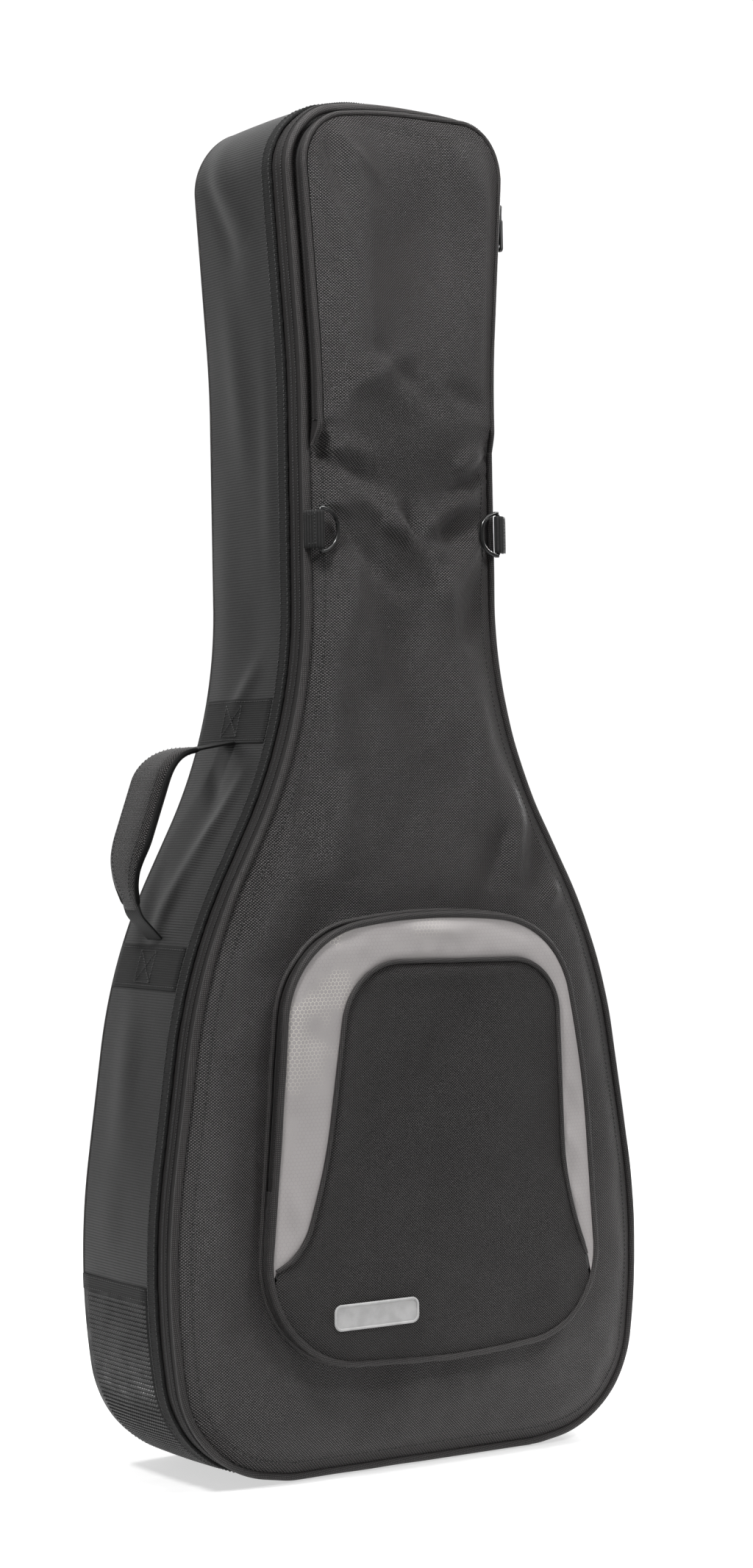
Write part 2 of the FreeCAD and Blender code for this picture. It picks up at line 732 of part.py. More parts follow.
LOCK_Z = size("strap_bottom_z") + 2.0 - size("lock_length")
for side_name, sign in SIDES.items():
    middle = sign * size("strap_x")
    half_width = size("strap_width") / 2
    pad_body = new_body("strap_pad_" + side_name)
    outline = new_sketch(pad_body, "Outline")
    draw(outline, rounded(rounded_bar(middle - half_width, middle + half_width, size("strap_bottom_z") + 2.4,
                                      size("strap_top_z"), 12.0)))
    pad(pad_body, outline, "Dims.strap_thick")
    pad_body.setExpression("Placement.Base.y", "Dims.strap_y + Dims.strap_thick")

    lock = new_body("ladder_lock_" + side_name)
    frame = new_sketch(lock, "Frame")
    half_lock = size("lock_width") / 2
    draw(frame, rounded(rounded_bar(middle - half_lock, middle + half_lock, LOCK_Z,
                                    LOCK_Z + size("lock_length"), 3.0)))
    half_slot = size("lock_slot") / 2
    slot_height = 6.0
    for z in (LOCK_Z + 5.0, LOCK_Z + 14.0, LOCK_Z + 24.0):
        rectangle(frame, middle - half_slot, z, middle + half_slot, z + slot_height)
    pad(lock, frame, "Dims.lock_thick")
    lock.setExpression("Placement.Base.y", "Dims.strap_y + Dims.lock_thick")

tail_y = size("back_face_y")
tails = []
for sign in SIDES.values():
    middle = sign * size("strap_x")
    half = size("tail_width") / 2
    tail = slab(middle - half, middle + half, tail_y, tail_y + size("webbing_thick"), size("tail_bottom_z"),
                size("tail_top_z"))
    half = size("tab_patch_size") / 2
    foot = slab(middle - half, middle + half, tail_y, tail_y + size("anchor_thick"), size("tail_bottom_z") - 30.0,
                size("tail_bottom_z"))
    tails.append(tail.fuse(foot).removeSplitter().Solids[0])
feature("strap_tails", Part.makeCompound(tails))

loop = new_body("hang_loop")
section = new_sketch(loop, "Section", "YZ_Plane")
stand = size("loop_stand")
loop_low = size("loop_z")
loop_high = loop_low + size("loop_length")
thick = size("webbing_thick")
outer_loop = [
    (0.0, loop_low, 0.0),
    (stand, loop_low, 10.0),
    (stand, loop_high, 10.0),
    (0.0, loop_high, 0.0),
]
inner_loop = [
    (0.0, loop_low + thick, 0.0),
    (stand - thick, loop_low + thick, 10.0 - thick),
    (stand - thick, loop_high - thick, 10.0 - thick),
    (0.0, loop_high - thick, 0.0),
]
outer_run = rounded(outer_loop, closed=False)
inner_run = rounded(inner_loop, closed=False)
draw(section, outer_run + inner_run + [Run(outer_run[0].a, inner_run[0].a), Run(outer_run[-1].b, inner_run[-1].b)])
pad(loop, section, "Dims.loop_width", both_ways=True)
loop.setExpression("Placement.Base.y", "Dims.back_face_y")


# ---------------------------------------------------------------- zip sliders and pullers
def slider(label, place):
    """A slider with an open crown; +X stands off the tape and +Z runs along the zip."""
    body = new_body(label)
    base = new_sketch(body, "Base")
    half = size("slider_length") / 2
    rectangle(base, 0.0, -half, size("slider_height"), half)
    pad(body, base, "Dims.slider_width", both_ways=True)
    crown = new_sketch(body, "Crown")
    top = size("slider_height") + size("crown_gap") + size("crown_thick")
    draw(crown, rounded([
        (size("slider_height") - 0.4, -half + 1.5, 0.2), (top, -half + 1.5, 1.6), (top, half - 1.5, 1.6),
        (size("slider_height") - 0.4, half - 1.5, 0.2),
    ]))
    rectangle(crown, size("slider_height"), -half + 2.6, size("slider_height") + size("crown_gap"), half - 2.6)
    pad(body, crown, "Dims.crown_width", both_ways=True)
    body.Placement = place
    return body


BAR_X = size("slider_height") + size("crown_gap") / 2


def puller(label, place):
    """A puller that hangs from a bar through the slider's crown; its hinge line is the bar, along Y."""
    body = new_body(label)
    bar = new_sketch(body, "Bar")
    bar.addGeometry(Part.Circle(Vector(0, 0, 0), Vector(0, 0, 1), size("bar_r")), False)
    pad(body, bar, "Dims.puller_width - 2", both_ways=True)
    arm_out = size("puller_width") / 2 - 1.0
    arm_in = size("crown_width") / 2 + 0.5
    for name, y0, y1 in (("ArmOne", -arm_out, -arm_in), ("ArmTwo", arm_in, arm_out)):
        arm = new_sketch(body, name, "YZ_Plane")
        rectangle(arm, y0, -9.0, y1, 0.0)
        pad(body, arm, "2 * Dims.bar_r", both_ways=True)
    tongue = new_sketch(body, "Tongue", "YZ_Plane")
    half = size("puller_width") / 2
    length = size("puller_length")
    draw(tongue, rounded([(-half, -length, 3.0), (half, -length, 3.0), (half, -8.0, 2.0), (-half, -8.0, 2.0)]))
    eye = Vector(0, -length + 4.6, 0)
    tongue.addGeometry(Part.Circle(eye, Vector(0, 0, 1), size("puller_hole_r")), False)
    pad(body, tongue, "Dims.puller_thick", both_ways=True)
    body.Placement = place
    return body


def zip_pull(name, at, tilt=0.0):
    """A slider and its puller at a point on a tape's outer face; tilt leans the zip's line about Y."""
    turn = Rotation(Vector(0, 1, 0), tilt)
    slider(name + "_slider", Placement(at, turn))
    hinge = at + turn.multVec(Vector(BAR_X, 0, 0))
    puller(name + "_puller", Placement(hinge, Rotation()))
    return hinge


def side_x(corners, z, inset=0.0):
    """How far right an outline stands at a height."""
    path = Part.Wire(edges(rounded(corners, inset), 0.0))
    level = Part.LineSegment(Vector(0, 0, z), Vector(WIDE, 0, z)).toShape()
    return path.distToShape(level)[1][0][0].x


HINGES = {}
coil_face = -size("coil_out") + 0.6
for name, alias in (("main_upper", "main_upper_z"), ("main_lower", "main_lower_z")):
    z = size(alias)
    HINGES[name] = zip_pull(name, Vector(side_x(BAG, z) + coil_face, size("split_y"), z))

z = size("head_slider_z")
HEAD_LEAN = math.degrees(math.atan2(BAG_SIDE[6][0] - BAG_SIDE[5][0], BAG_SIDE[6][1] - BAG_SIDE[5][1]))
head_face = side_x(BAG, z, head_tape_out)
HINGES["head"] = zip_pull("head", Vector(head_face + 0.9, head_split, z), HEAD_LEAN)

z = size("pocket_slider_z")
POCKET_LEAN = math.degrees(math.atan2(POCKET[3][0] - POCKET[2][0], POCKET[3][1] - POCKET[2][1]))
HINGES["pocket"] = zip_pull("pocket", Vector(side_x(POCKET, z) + 1.0, pocket_split, z), POCKET_LEAN)

# ---------------------------------------------------------------- checks and files
doc.recompute()
for obj in doc.Objects:
    if "Invalid" in obj.State or "Error" in obj.State:
        raise RuntimeError(f"{obj.Label} failed: {obj.State}")
for obj in PARTS:
    if obj.Shape.isNull() or not obj.Shape.isValid():
        raise RuntimeError(f"{obj.Label} has no valid shape")

os.makedirs("parts", exist_ok=True)
for obj in PARTS:
    obj.Shape.exportStep(os.path.join("parts", obj.Label + ".step"))
    bounds = obj.Shape.BoundBox
    print(f"{obj.Label}: {len(obj.Shape.Solids)} solid(s), {obj.Shape.Volume / 1000:.1f} cm3, "
          f"x {bounds.XMin:.1f}..{bounds.XMax:.1f}, y {bounds.YMin:.1f}..{bounds.YMax:.1f}, "
          f"z {bounds.ZMin:.1f}..{bounds.ZMax:.1f}")
print(len(PARTS), "nodes")
for name, hinge in HINGES.items():
    print(f"hinge {name}: {hinge.x:.2f}, {hinge.y:.2f}, {hinge.z:.2f}")
print(f"zip leans: head {HEAD_LEAN:.2f}, pocket {POCKET_LEAN:.2f} degrees")
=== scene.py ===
import json
import math

import bmesh
import bpy
import numpy as np
from mathutils import Matrix, Vector
from mathutils.geometry import delaunay_2d_cdt

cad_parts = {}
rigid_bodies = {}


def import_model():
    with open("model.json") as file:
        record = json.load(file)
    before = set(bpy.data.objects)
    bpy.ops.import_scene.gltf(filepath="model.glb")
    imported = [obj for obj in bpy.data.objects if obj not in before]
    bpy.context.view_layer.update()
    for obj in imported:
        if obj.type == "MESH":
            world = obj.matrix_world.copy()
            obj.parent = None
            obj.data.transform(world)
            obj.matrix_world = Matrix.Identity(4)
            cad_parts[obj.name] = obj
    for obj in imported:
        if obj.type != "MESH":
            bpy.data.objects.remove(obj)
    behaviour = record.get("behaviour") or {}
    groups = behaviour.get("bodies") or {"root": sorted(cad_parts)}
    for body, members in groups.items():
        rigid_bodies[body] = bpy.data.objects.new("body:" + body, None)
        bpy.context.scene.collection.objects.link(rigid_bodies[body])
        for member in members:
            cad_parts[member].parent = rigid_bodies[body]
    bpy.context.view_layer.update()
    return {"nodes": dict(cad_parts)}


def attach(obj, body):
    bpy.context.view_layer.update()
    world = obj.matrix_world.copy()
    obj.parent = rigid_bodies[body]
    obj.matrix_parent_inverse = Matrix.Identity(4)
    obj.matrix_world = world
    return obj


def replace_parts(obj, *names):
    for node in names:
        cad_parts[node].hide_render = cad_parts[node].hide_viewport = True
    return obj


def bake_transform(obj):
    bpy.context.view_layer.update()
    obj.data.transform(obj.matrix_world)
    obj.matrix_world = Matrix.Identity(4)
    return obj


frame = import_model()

MM = 0.001

# ---------------------------------------------------------------- outlines, in mm: x, z and corner radius
# These repeat part.py's outlines. All corners and radii but the bag's top and the arch's two ends were
# printed by a least-squares fit to points on the photograph. They were not chosen by hand.
SIDE = [
    (118.6, 3.9, 69), (204.7, 18.5, 89), (224.6, 167.6, 568), (188.9, 408.5, 431),
    (87.6, 599.4, 389), (87.6, 880.4, 900), (97.8, 1027.4, 500), (101.2, 1079.7, 47),
]
BAG_CORNERS = SIDE + [(0, 1091.5, 400)] + [(-x, z, r) for x, z, r in reversed(SIDE)]
POCKET_CORNERS = [
    (29.6, 86, 600), (165.2, 97.6, 72), (161.9, 174.7, 900), (154.2, 308.3, 800), (130.8, 431.5, 78),
    (5.6, 447.1, 494), (-126.7, 428.5, 81), (-140.6, 267.3, 800), (-157.8, 95.6, 83),
]
ARCH_CORNERS = [
    (152, 158, 0), (128.4, 208.5, 246), (124.8, 402.8, 45), (-73.3, 407.4, 53),
    (-97.7, 252.4, 386), (-120, 183.7, 57), (-144, 170.5, 0),
]

# ---------------------------------------------------------------- depths, in mm, front is -Y
SEAM_Y = -76.0
SPLIT_Y = -61.0
TAPE_REAR_Y = -50.0
BINDING_REAR_Y = -36.0
FOLD_Z = 244.0
TOP_SWELL = 6.5


def smooth(value, low, high):
    """0 below low, 1 above high, and a soft step between."""
    t = np.clip((value - low) / (high - low), 0, 1)
    return t * t * (3 - 2 * t)


def bell(value, width):
    return np.exp(-(value / width) ** 2)


def field(u, v, seed):
    """Smooth noise from -1 to 1 that changes over a distance of about 1."""
    u, v = np.broadcast_arrays(np.asarray(u, float), np.asarray(v, float))
    grid = np.random.default_rng(seed).uniform(-1, 1, (64, 64))
    iu, iv = np.floor(u).astype(int), np.floor(v).astype(int)
    fu, fv = u - iu, v - iv
    fu, fv = fu * fu * (3 - 2 * fu), fv * fv * (3 - 2 * fv)

    def corner(a, b):
        return grid[(iu + a) % 64, (iv + b) % 64]

    low = corner(0, 0) * (1 - fu) + corner(1, 0) * fu
    high = corner(0, 1) * (1 - fu) + corner(1, 1) * fu
    return low * (1 - fv) + high * fv


class Outline:
    """A line in X and Z whose corners are rounded by arcs, with places by running length."""

    def __init__(self, corners, closed=True):
        points = []
        spots = [np.array(c[:2], float) for c in corners]
        count = len(corners)
        for i, spot in enumerate(spots):
            if not closed and i in (0, count - 1):
                points.append(spot)
                continue
            back = spots[i - 1] - spot
            ahead = spots[(i + 1) % count] - spot
            back, ahead = back / np.linalg.norm(back), ahead / np.linalg.norm(ahead)
            turn = math.pi - math.acos(np.clip(back @ ahead, -1, 1))
            radius = corners[i][2]
            reach = radius * math.tan(turn / 2)
            middle = back + ahead
            centre = spot + middle / np.linalg.norm(middle) * radius / math.cos(turn / 2)
            first, last = spot + back * reach - centre, spot + ahead * reach - centre
            a0 = math.atan2(first[1], first[0])
            swing = (math.atan2(last[1], last[0]) - a0 + math.pi) % (2 * math.pi) - math.pi
            steps = max(2, math.ceil(abs(swing) * radius / 0.5))
            for k in range(steps + 1):
                a = a0 + swing * k / steps
                points.append(centre + radius * np.array([math.cos(a), math.sin(a)]))
        if closed:
            points.append(points[0])
        self.closed = closed
        self.points = np.array(points)
        self.run = np.concatenate([[0], np.cumsum(np.linalg.norm(np.diff(self.points, axis=0), axis=1))])
        self.length = self.run[-1]

    def place(self, s):
        s = np.asarray(s, float)
        s = np.mod(s, self.length) if self.closed else np.clip(s, 0, self.length)
        return np.stack([np.interp(s, self.run, self.points[:, k]) for k in (0, 1)], -1)

    def at(self, s):
        """Places and outward directions at running lengths s."""
        ahead = self.place(np.asarray(s) + 1.5) - self.place(np.asarray(s) - 1.5)
        ahead /= np.linalg.norm(ahead, axis=-1, keepdims=True)
        return self.place(s), np.stack([ahead[..., 1], -ahead[..., 0]], -1)

    def near(self, x, z):
        """The running length of the outline's point nearest to a place."""
        run = np.arange(0, self.length, 0.5)
        places = self.place(run)
        return run[np.argmin(np.hypot(places[:, 0] - x, places[:, 1] - z))]

    def steps(self, step, span=None):
        """Even running lengths over a span, or all round."""
        if span is None:
            return np.arange(round(self.length / step)) * self.length / round(self.length / step)
        return np.linspace(span[0], span[1], max(2, round((span[1] - span[0]) / step) + 1))

    def offset(self, inset, step=3.0):
        """The outline moved inwards, as points."""
        spots, out = self.at(self.steps(step, None if self.closed else (0, self.length)))
        inset = inset(spots[:, 1])[:, None] if callable(inset) else inset
        return spots - out * inset


BAG = Outline(BAG_CORNERS)
POCKET = Outline(POCKET_CORNERS)
ARCH = Outline(ARCH_CORNERS, closed=False)


def inside(points, loop):
    """Which points lie within a closed loop."""
    a, b = loop, np.roll(loop, -1, axis=0)
    hit = np.zeros(len(points), bool)
    for k in range(0, len(points), 4000):
        x, z = points[k:k + 4000, :1], points[k:k + 4000, 1:]
        crosses = (a[:, 1] > z) != (b[:, 1] > z)
        with np.errstate(divide="ignore", invalid="ignore"):
            at = a[:, 0] + (z - a[:, 1]) * (b[:, 0] - a[:, 0]) / (b[:, 1] - a[:, 1])
        hit[k:k + 4000] = (crosses & (x < at)).sum(1) % 2 == 1
    return hit


def distance(points, line):
    """How far each point is from the nearest of a line's points."""
    far = np.zeros(len(points))
    for k in range(0, len(points), 4000):
        part = points[k:k + 4000]
        far[k:k + 4000] = np.sqrt(((part[:, None] - line[None]) ** 2).sum(-1).min(1))
    return far


# ---------------------------------------------------------------- making objects
def make(name, vertices, faces, uvs, material, angle=50.0, recalc=True):
    """A mesh object from vertices in mm, with a cloth map in metres.
    The bag's top swells up behind its front, and a little at the front's right."""
    vertices = np.array(vertices, float)
    x, y, z = vertices.T
    vertices[:, 2] += TOP_SWELL * bell(x + 38, 48) * smooth(z, 1040, 1088) * smooth(y, -80, -66)
    vertices[:, 2] += 3.5 * smooth(x, 10, 75) * smooth(z, 1030, 1070) * smooth(-y, 74, 84)
    mesh = bpy.data.meshes.new(name)
    mesh.from_pydata((vertices * MM).tolist(), [], [list(map(int, f)) for f in faces])
    layer = mesh.uv_layers.new(name="Cloth")
    layer.data.foreach_set("uv", (np.asarray(uvs, float) * MM).ravel())
    if recalc:
        bm = bmesh.new()
        bm.from_mesh(mesh)
        bmesh.ops.recalc_face_normals(bm, faces=bm.faces)
        bm.to_mesh(mesh)
        bm.free()
    mesh.shade_smooth()
    mesh.set_sharp_from_angle(angle=math.radians(angle))
    mesh.materials.append(material)
    obj = bpy.data.objects.new(name, mesh)
    bpy.context.scene.collection.objects.link(obj)
    return obj


def grid_faces(rows, columns, wrap_rows, wrap_columns):
    """Quads of a grid of rows x columns, and for each corner its row and column before wrapping."""
    r = np.arange(rows if wrap_rows else rows - 1)
    c = np.arange(columns if wrap_columns else columns - 1)
    r, c = np.meshgrid(r, c, indexing="ij")
    corners = [(r, c), (r + 1, c), (r + 1, c + 1), (r, c + 1)]
    index = np.stack([(a % rows) * columns + b % columns for a, b in corners], -1).reshape(-1, 4)
    spots = np.stack([np.stack([a, b], -1) for a, b in corners], -2).reshape(-1, 4, 2)
    return index, spots


def sweep(name, outline, profile, material, span=None, step=3.0, shape=None, wrap_profile=True, angle=50.0):
    """A band or cord along an outline. The profile is (out, y) points.
    shape(s, out, y, places) may move them."""
    s = outline.steps(step, span)
    wrap = span is None
    places, outward = outline.at(s)
    profile = np.array(profile, float)
    out = np.repeat(profile[None, :, 0], len(s), 0)
    y = np.repeat(profile[None, :, 1], len(s), 0)
    if shape:
        out, y = shape(s[:, None], out, y, places)
    vertices = np.stack([
        places[:, :1] + outward[:, :1] * out,
        y,
        places[:, 1:] + outward[:, 1:] * out,
    ], -1).reshape(-1, 3)
    rows, columns = len(s), len(profile)
    faces, spots = grid_faces(rows, columns, wrap, wrap_profile)
    closed_profile = np.vstack([profile, profile[:1]])
    across = np.concatenate([[0], np.cumsum(np.linalg.norm(np.diff(closed_profile, axis=0), axis=1))])
    along = np.append(s, outline.length) if wrap else s
    uvs = np.stack([along[spots[..., 0]], across[spots[..., 1]]], -1).reshape(-1, 2).tolist()
    faces = faces.tolist()
    if not wrap and wrap_profile:
        for row in (0, rows - 1):
            faces.append([row * columns + k for k in range(columns)])
            uvs += [(along[row], v) for v in across[:columns]]
    return make(name, vertices, faces, uvs, material, angle)


def circle(out, y, radius, sides=10):
    """The profile of a round cord."""
    turns = [2 * math.pi * k / sides for k in range(sides)]
    return [(out + radius * math.cos(a), y + radius * math.sin(a)) for a in turns]


def slab(out0, out1, y0, y1, bevel=0.4, across=1):
    """The profile of a flat band with soft edges; across is the number of steps over its outer face."""
    outer = [(out1, y0 + bevel + (y1 - y0 - 2 * bevel) * k / across) for k in range(across + 1)]
    return outer + [(out1 - bevel, y1), (out0, y1), (out0, y0), (out1 - bevel, y0)]


def panel(name, loop, height, material, spacing=4.0, thick=1.2, angle=60.0, rear=None):
    """A panel within a loop of (x, z) points, whose face lies at y = height(x, z).
    Its other side is thick away from the face, or flat at y = rear."""
    low, high = loop.min(0), loop.max(0)
    xs = np.arange(low[0], high[0], spacing)
    zs = np.arange(low[1], high[1], spacing * 0.866)
    grid = np.array([(x + (spacing / 2 if k % 2 else 0), z) for k, z in enumerate(zs) for x in xs])
    grid = grid[inside(grid, loop)]
    grid = grid[distance(grid, loop) > 0.6 * spacing]
    points = np.vstack([loop, grid])
    edges = [(k, (k + 1) % len(loop)) for k in range(len(loop))]
    found, _, triangles, order, _, _ = delaunay_2d_cdt([Vector(p) for p in points], edges, [], 1, 1e-4)
    flat = np.array([tuple(p) for p in found])
    triangles = np.array(triangles)
    y = height(flat[:, 0], flat[:, 1])
    face = np.stack([flat[:, 0], y, flat[:, 1]], -1)
    a, b, c = (face[triangles[:, k]] for k in range(3))
    tilt = np.cross(b - a, c - a)
    tilt *= np.sign(-tilt[:, 1:2])
    normal = np.zeros_like(face)
    for k in range(3):
        np.add.at(normal, triangles[:, k], tilt)
    normal /= np.linalg.norm(normal, axis=1, keepdims=True) + 1e-12
    back = face - normal * thick
    if rear is not None:
        back = np.stack([flat[:, 0], np.full(len(flat), rear), flat[:, 1]], -1)
    count = len(face)
    home = {old: new for new, olds in enumerate(order) for old in olds}
    rim = [home[k] for k in range(len(loop))]
    faces = triangles.tolist() + (triangles[:, ::-1] + count).tolist()
    rim_faces = [[p, q, q + count, p + count] for p, q in zip(rim, rim[1:] + rim[:1])]
    both = np.vstack([flat, flat])
    uvs = both[np.array(faces)].reshape(-1, 2).tolist()
    for quad in rim_faces:
        uvs += both[quad].tolist()
    return make(name, np.vstack([face, back]), faces + rim_faces, uvs, material, angle)


def scatter(name, template, faces, origins, ahead, up, material, angle=50.0):
    """Copies of a small template (along, across, up, in mm) at many places, as one mesh."""
    template = np.array(template, float)
    ahead = ahead / np.linalg.norm(ahead, axis=1, keepdims=True)
    up = up / np.linalg.norm(up, axis=1, keepdims=True)
    side = np.cross(up, ahead)
    vertices = (
        origins[:, None]
        + ahead[:, None] * template[None, :, :1]
        + side[:, None] * template[None, :, 1:2]
        + up[:, None] * template[None, :, 2:]
    )
    size = len(template)
    every = [[i * size + k for k in f] for i in range(len(origins)) for f in faces]
    uvs = [tuple(template[k, :2]) for _ in range(len(origins)) for f in faces for k in f]
    return make(name, vertices.reshape(-1, 3), every, uvs, material, angle, recalc=False)


def thread_template(length, radius, sides=6):
    """One stitch: a thread that dips into the cloth at both ends."""
    stations = [(-0.5, 0.35, -0.9), (-0.3, 0.9, 0.1), (0.0, 1.0, 0.5), (0.3, 0.9, 0.1), (0.5, 0.35, -0.9)]
    vertices = []
    for at, scale, lift in stations:
        for k in range(sides):
            a = 2 * math.pi * k / sides
            vertices.append((
                at * length, radius * scale * math.cos(a), radius * (scale * math.sin(a) + lift),
            ))
    faces = []
    for i in range(len(stations) - 1):
        for k in range(sides):
            n = (k + 1) % sides
            faces.append([i * sides + k, (i + 1) * sides + k, (i + 1) * sides + n, i * sides + n])
    faces.append(list(range(sides)))
    faces.append([(len(stations) - 1) * sides + k for k in reversed(range(sides))])
    return vertices, faces


def along_outline(outline, out, y, pitch, span=None):
    """Places, forward directions and outward directions along an outline."""
    s = outline.steps(pitch, span)
    spots, normal = outline.at(s)
    count = len(s)
    out = out(s) if callable(out) else out
    y = y(s) if callable(y) else y
    moved = spots + normal * np.reshape(out, (-1, 1))
    origins = np.stack([moved[:, 0], np.broadcast_to(y, count), moved[:, 1]], -1)
    ahead = np.stack([-normal[:, 1], np.zeros(count), normal[:, 0]], -1)
    up = np.stack([normal[:, 0], np.zeros(count), normal[:, 1]], -1)
    return origins, ahead, up


def stitch_line(name, origins, ahead, up, material, length=2.8, radius=0.38):
    vertices, faces = thread_template(length, radius)
    return scatter(name, vertices, faces, origins, ahead, up, material)


def stitch_path(name, points, up, material, pitch=3.6, length=2.7, radius=0.36, closed=False):
    """Stitches along a line of points in mm; up is the way the cloth faces, or a function of the places."""
    points = np.array(points, float)
    if closed:
        points = np.vstack([points, points[:1]])
    run = np.concatenate([[0], np.cumsum(np.linalg.norm(np.diff(points, axis=0), axis=1))])
    s = np.arange(pitch / 2, run[-1], pitch)
    spots = np.stack([np.interp(s, run, points[:, k]) for k in range(3)], -1)
    after = np.stack([np.interp(s + 0.3, run, points[:, k]) for k in range(3)], -1)
    before = np.stack([np.interp(s - 0.3, run, points[:, k]) for k in range(3)], -1)
    ups = np.broadcast_to(np.array(up, float), spots.shape).copy()
    ahead = after - before
    ahead -= ups * (ahead * ups).sum(1, keepdims=True)
    return stitch_line(name, spots, ahead, ups, material, length, radius)


def ride(body, *objects, slot=None, replaces=(), padded=None):
    """Sends pieces with a body; the first stands for the replaced CAD nodes. padded is not used."""
    for obj in objects:
        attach(obj, body)
    if replaces:
        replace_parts(objects[0], *replaces)


HEAD_FOLD = ("cover", "head_flap", (0, -0.09, 0.818), (0, -0.09, 0.850))
POCKET_FOLD = ("cover", "pocket_flap", (0, -0.1, 0.232), (0, -0.1, 0.256))


def cross(piece, fold, slot, replaces=(), padded=None):
    """Bakes a piece's place into its mesh; it stands for the replaced CAD nodes. fold is not used."""
    if replaces:
        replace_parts(piece, *replaces)
    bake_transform(piece)


# ---------------------------------------------------------------- materials
class Nodes:
    """A material and short ways to add its nodes."""

    def __init__(self, name, roughness=0.6, specular=0.5, sheen=0.0, sheen_roughness=0.5, metallic=0.0,
                 coat=0.0):
        self.material = bpy.data.materials.new(name)
        self.material.use_nodes = True
        self.tree = self.material.node_tree
        self.shader = self.tree.nodes["Principled BSDF"]
        self.shader.inputs["Roughness"].default_value = roughness
        self.shader.inputs["Specular IOR Level"].default_value = specular
        self.shader.inputs["Sheen Weight"].default_value = sheen
        self.shader.inputs["Sheen Roughness"].default_value = sheen_roughness
        self.shader.inputs["Metallic"].default_value = metallic
        self.shader.inputs["Coat Weight"].default_value = coat

    def new(self, kind, **values):
        node = self.tree.nodes.new("ShaderNode" + kind)
        for key, value in values.items():
            setattr(node, key, value)
        return node

    def put(self, socket, value):
        if isinstance(value, bpy.types.NodeSocket):
            self.tree.links.new(value, socket)
        elif value is not None:
            socket.default_value = value

    def math(self, operation, *values, clamp=False):
        node = self.new("Math", operation=operation, use_clamp=clamp)
        for socket, value in zip(node.inputs, values):
            self.put(socket, value)
        return node.outputs[0]

    def map(self, value, low, high, to_low=0.0, to_high=1.0):
        node = self.new("MapRange", interpolation_type="SMOOTHSTEP")
        for socket, item in zip(node.inputs, (value, low, high, to_low, to_high)):
            self.put(socket, item)
        return node.outputs[0]

    def mix(self, factor, a, b):
        node = self.new("Mix", data_type="RGBA")
        self.put(node.inputs[0], factor)
        self.put(node.inputs[6], self.rgb(a))
        self.put(node.inputs[7], self.rgb(b))
        return node.outputs[2]

    @staticmethod
    def rgb(colour):
        if isinstance(colour, bpy.types.NodeSocket):
            return colour
        return (*colour, 1.0) if len(colour) == 3 else colour

    def cloth(self):
        """The cloth map's two coordinates, in metres."""
        node = self.new("SeparateXYZ")
        self.put(node.inputs[0], self.new("UVMap", uv_map="Cloth").outputs[0])
        return node.outputs[0], node.outputs[1]

    def noise(self, scale, detail=3.0, roughness=0.55, vector=None):
        node = self.new("TexNoise")
        self.put(node.inputs["Vector"], vector or self.new("TexCoord").outputs["Object"])
        self.put(node.inputs["Scale"], scale)
        self.put(node.inputs["Detail"], detail)
        self.put(node.inputs["Roughness"], roughness)
        return node.outputs[0]

    def cell(self, u, v):
        """A random number for each unit cell."""
        join = self.new("CombineXYZ")
        self.put(join.inputs[0], self.math("FLOOR", u))
        self.put(join.inputs[1], self.math("FLOOR", v))
        node = self.new("TexWhiteNoise", noise_dimensions="2D")
        self.put(node.inputs["Vector"], join.outputs[0])
        return node.outputs[0]

    def hump(self, value):
        """A rounded ridge over each unit of value."""
        return self.math("SINE", self.math("MULTIPLY", self.math("FRACT", value), math.pi))

    def finish(self, colour, height=None, strength=0.5, depth=0.0003, roughness=None):
        self.put(self.shader.inputs["Base Color"], self.rgb(colour))
        self.put(self.shader.inputs["Roughness"], roughness)
        if height is not None:
            bump = self.new("Bump")
            self.put(bump.inputs["Strength"], strength)
            self.put(bump.inputs["Distance"], depth)
            self.put(bump.inputs["Height"], height)
            self.put(self.shader.inputs["Normal"], bump.outputs[0])
        return self.material


def grey(level, warm=0.0):
    return level * (1 + warm), level, level * (1 - 0.1 * warm)


def weave(n, u, v):
    """Height of a plain weave and which thread is on top, over unit cells."""
    across, down = n.hump(u), n.hump(v)
    odd = n.math("FLOORED_MODULO", n.math("ADD", n.math("FLOOR", u), n.math("FLOOR", v)), 2.0)
    warp = n.math("MULTIPLY", n.math("POWER", across, 0.6), n.math("MULTIPLY_ADD", down, 0.5, 0.5))
    weft = n.math("MULTIPLY", n.math("POWER", down, 0.6), n.math("MULTIPLY_ADD", across, 0.5, 0.5))
    node = n.new("Mix")
    for socket, value in ((0, odd), (2, weft), (3, warp)):
        n.put(node.inputs[socket], value)
    return node.outputs[0], odd


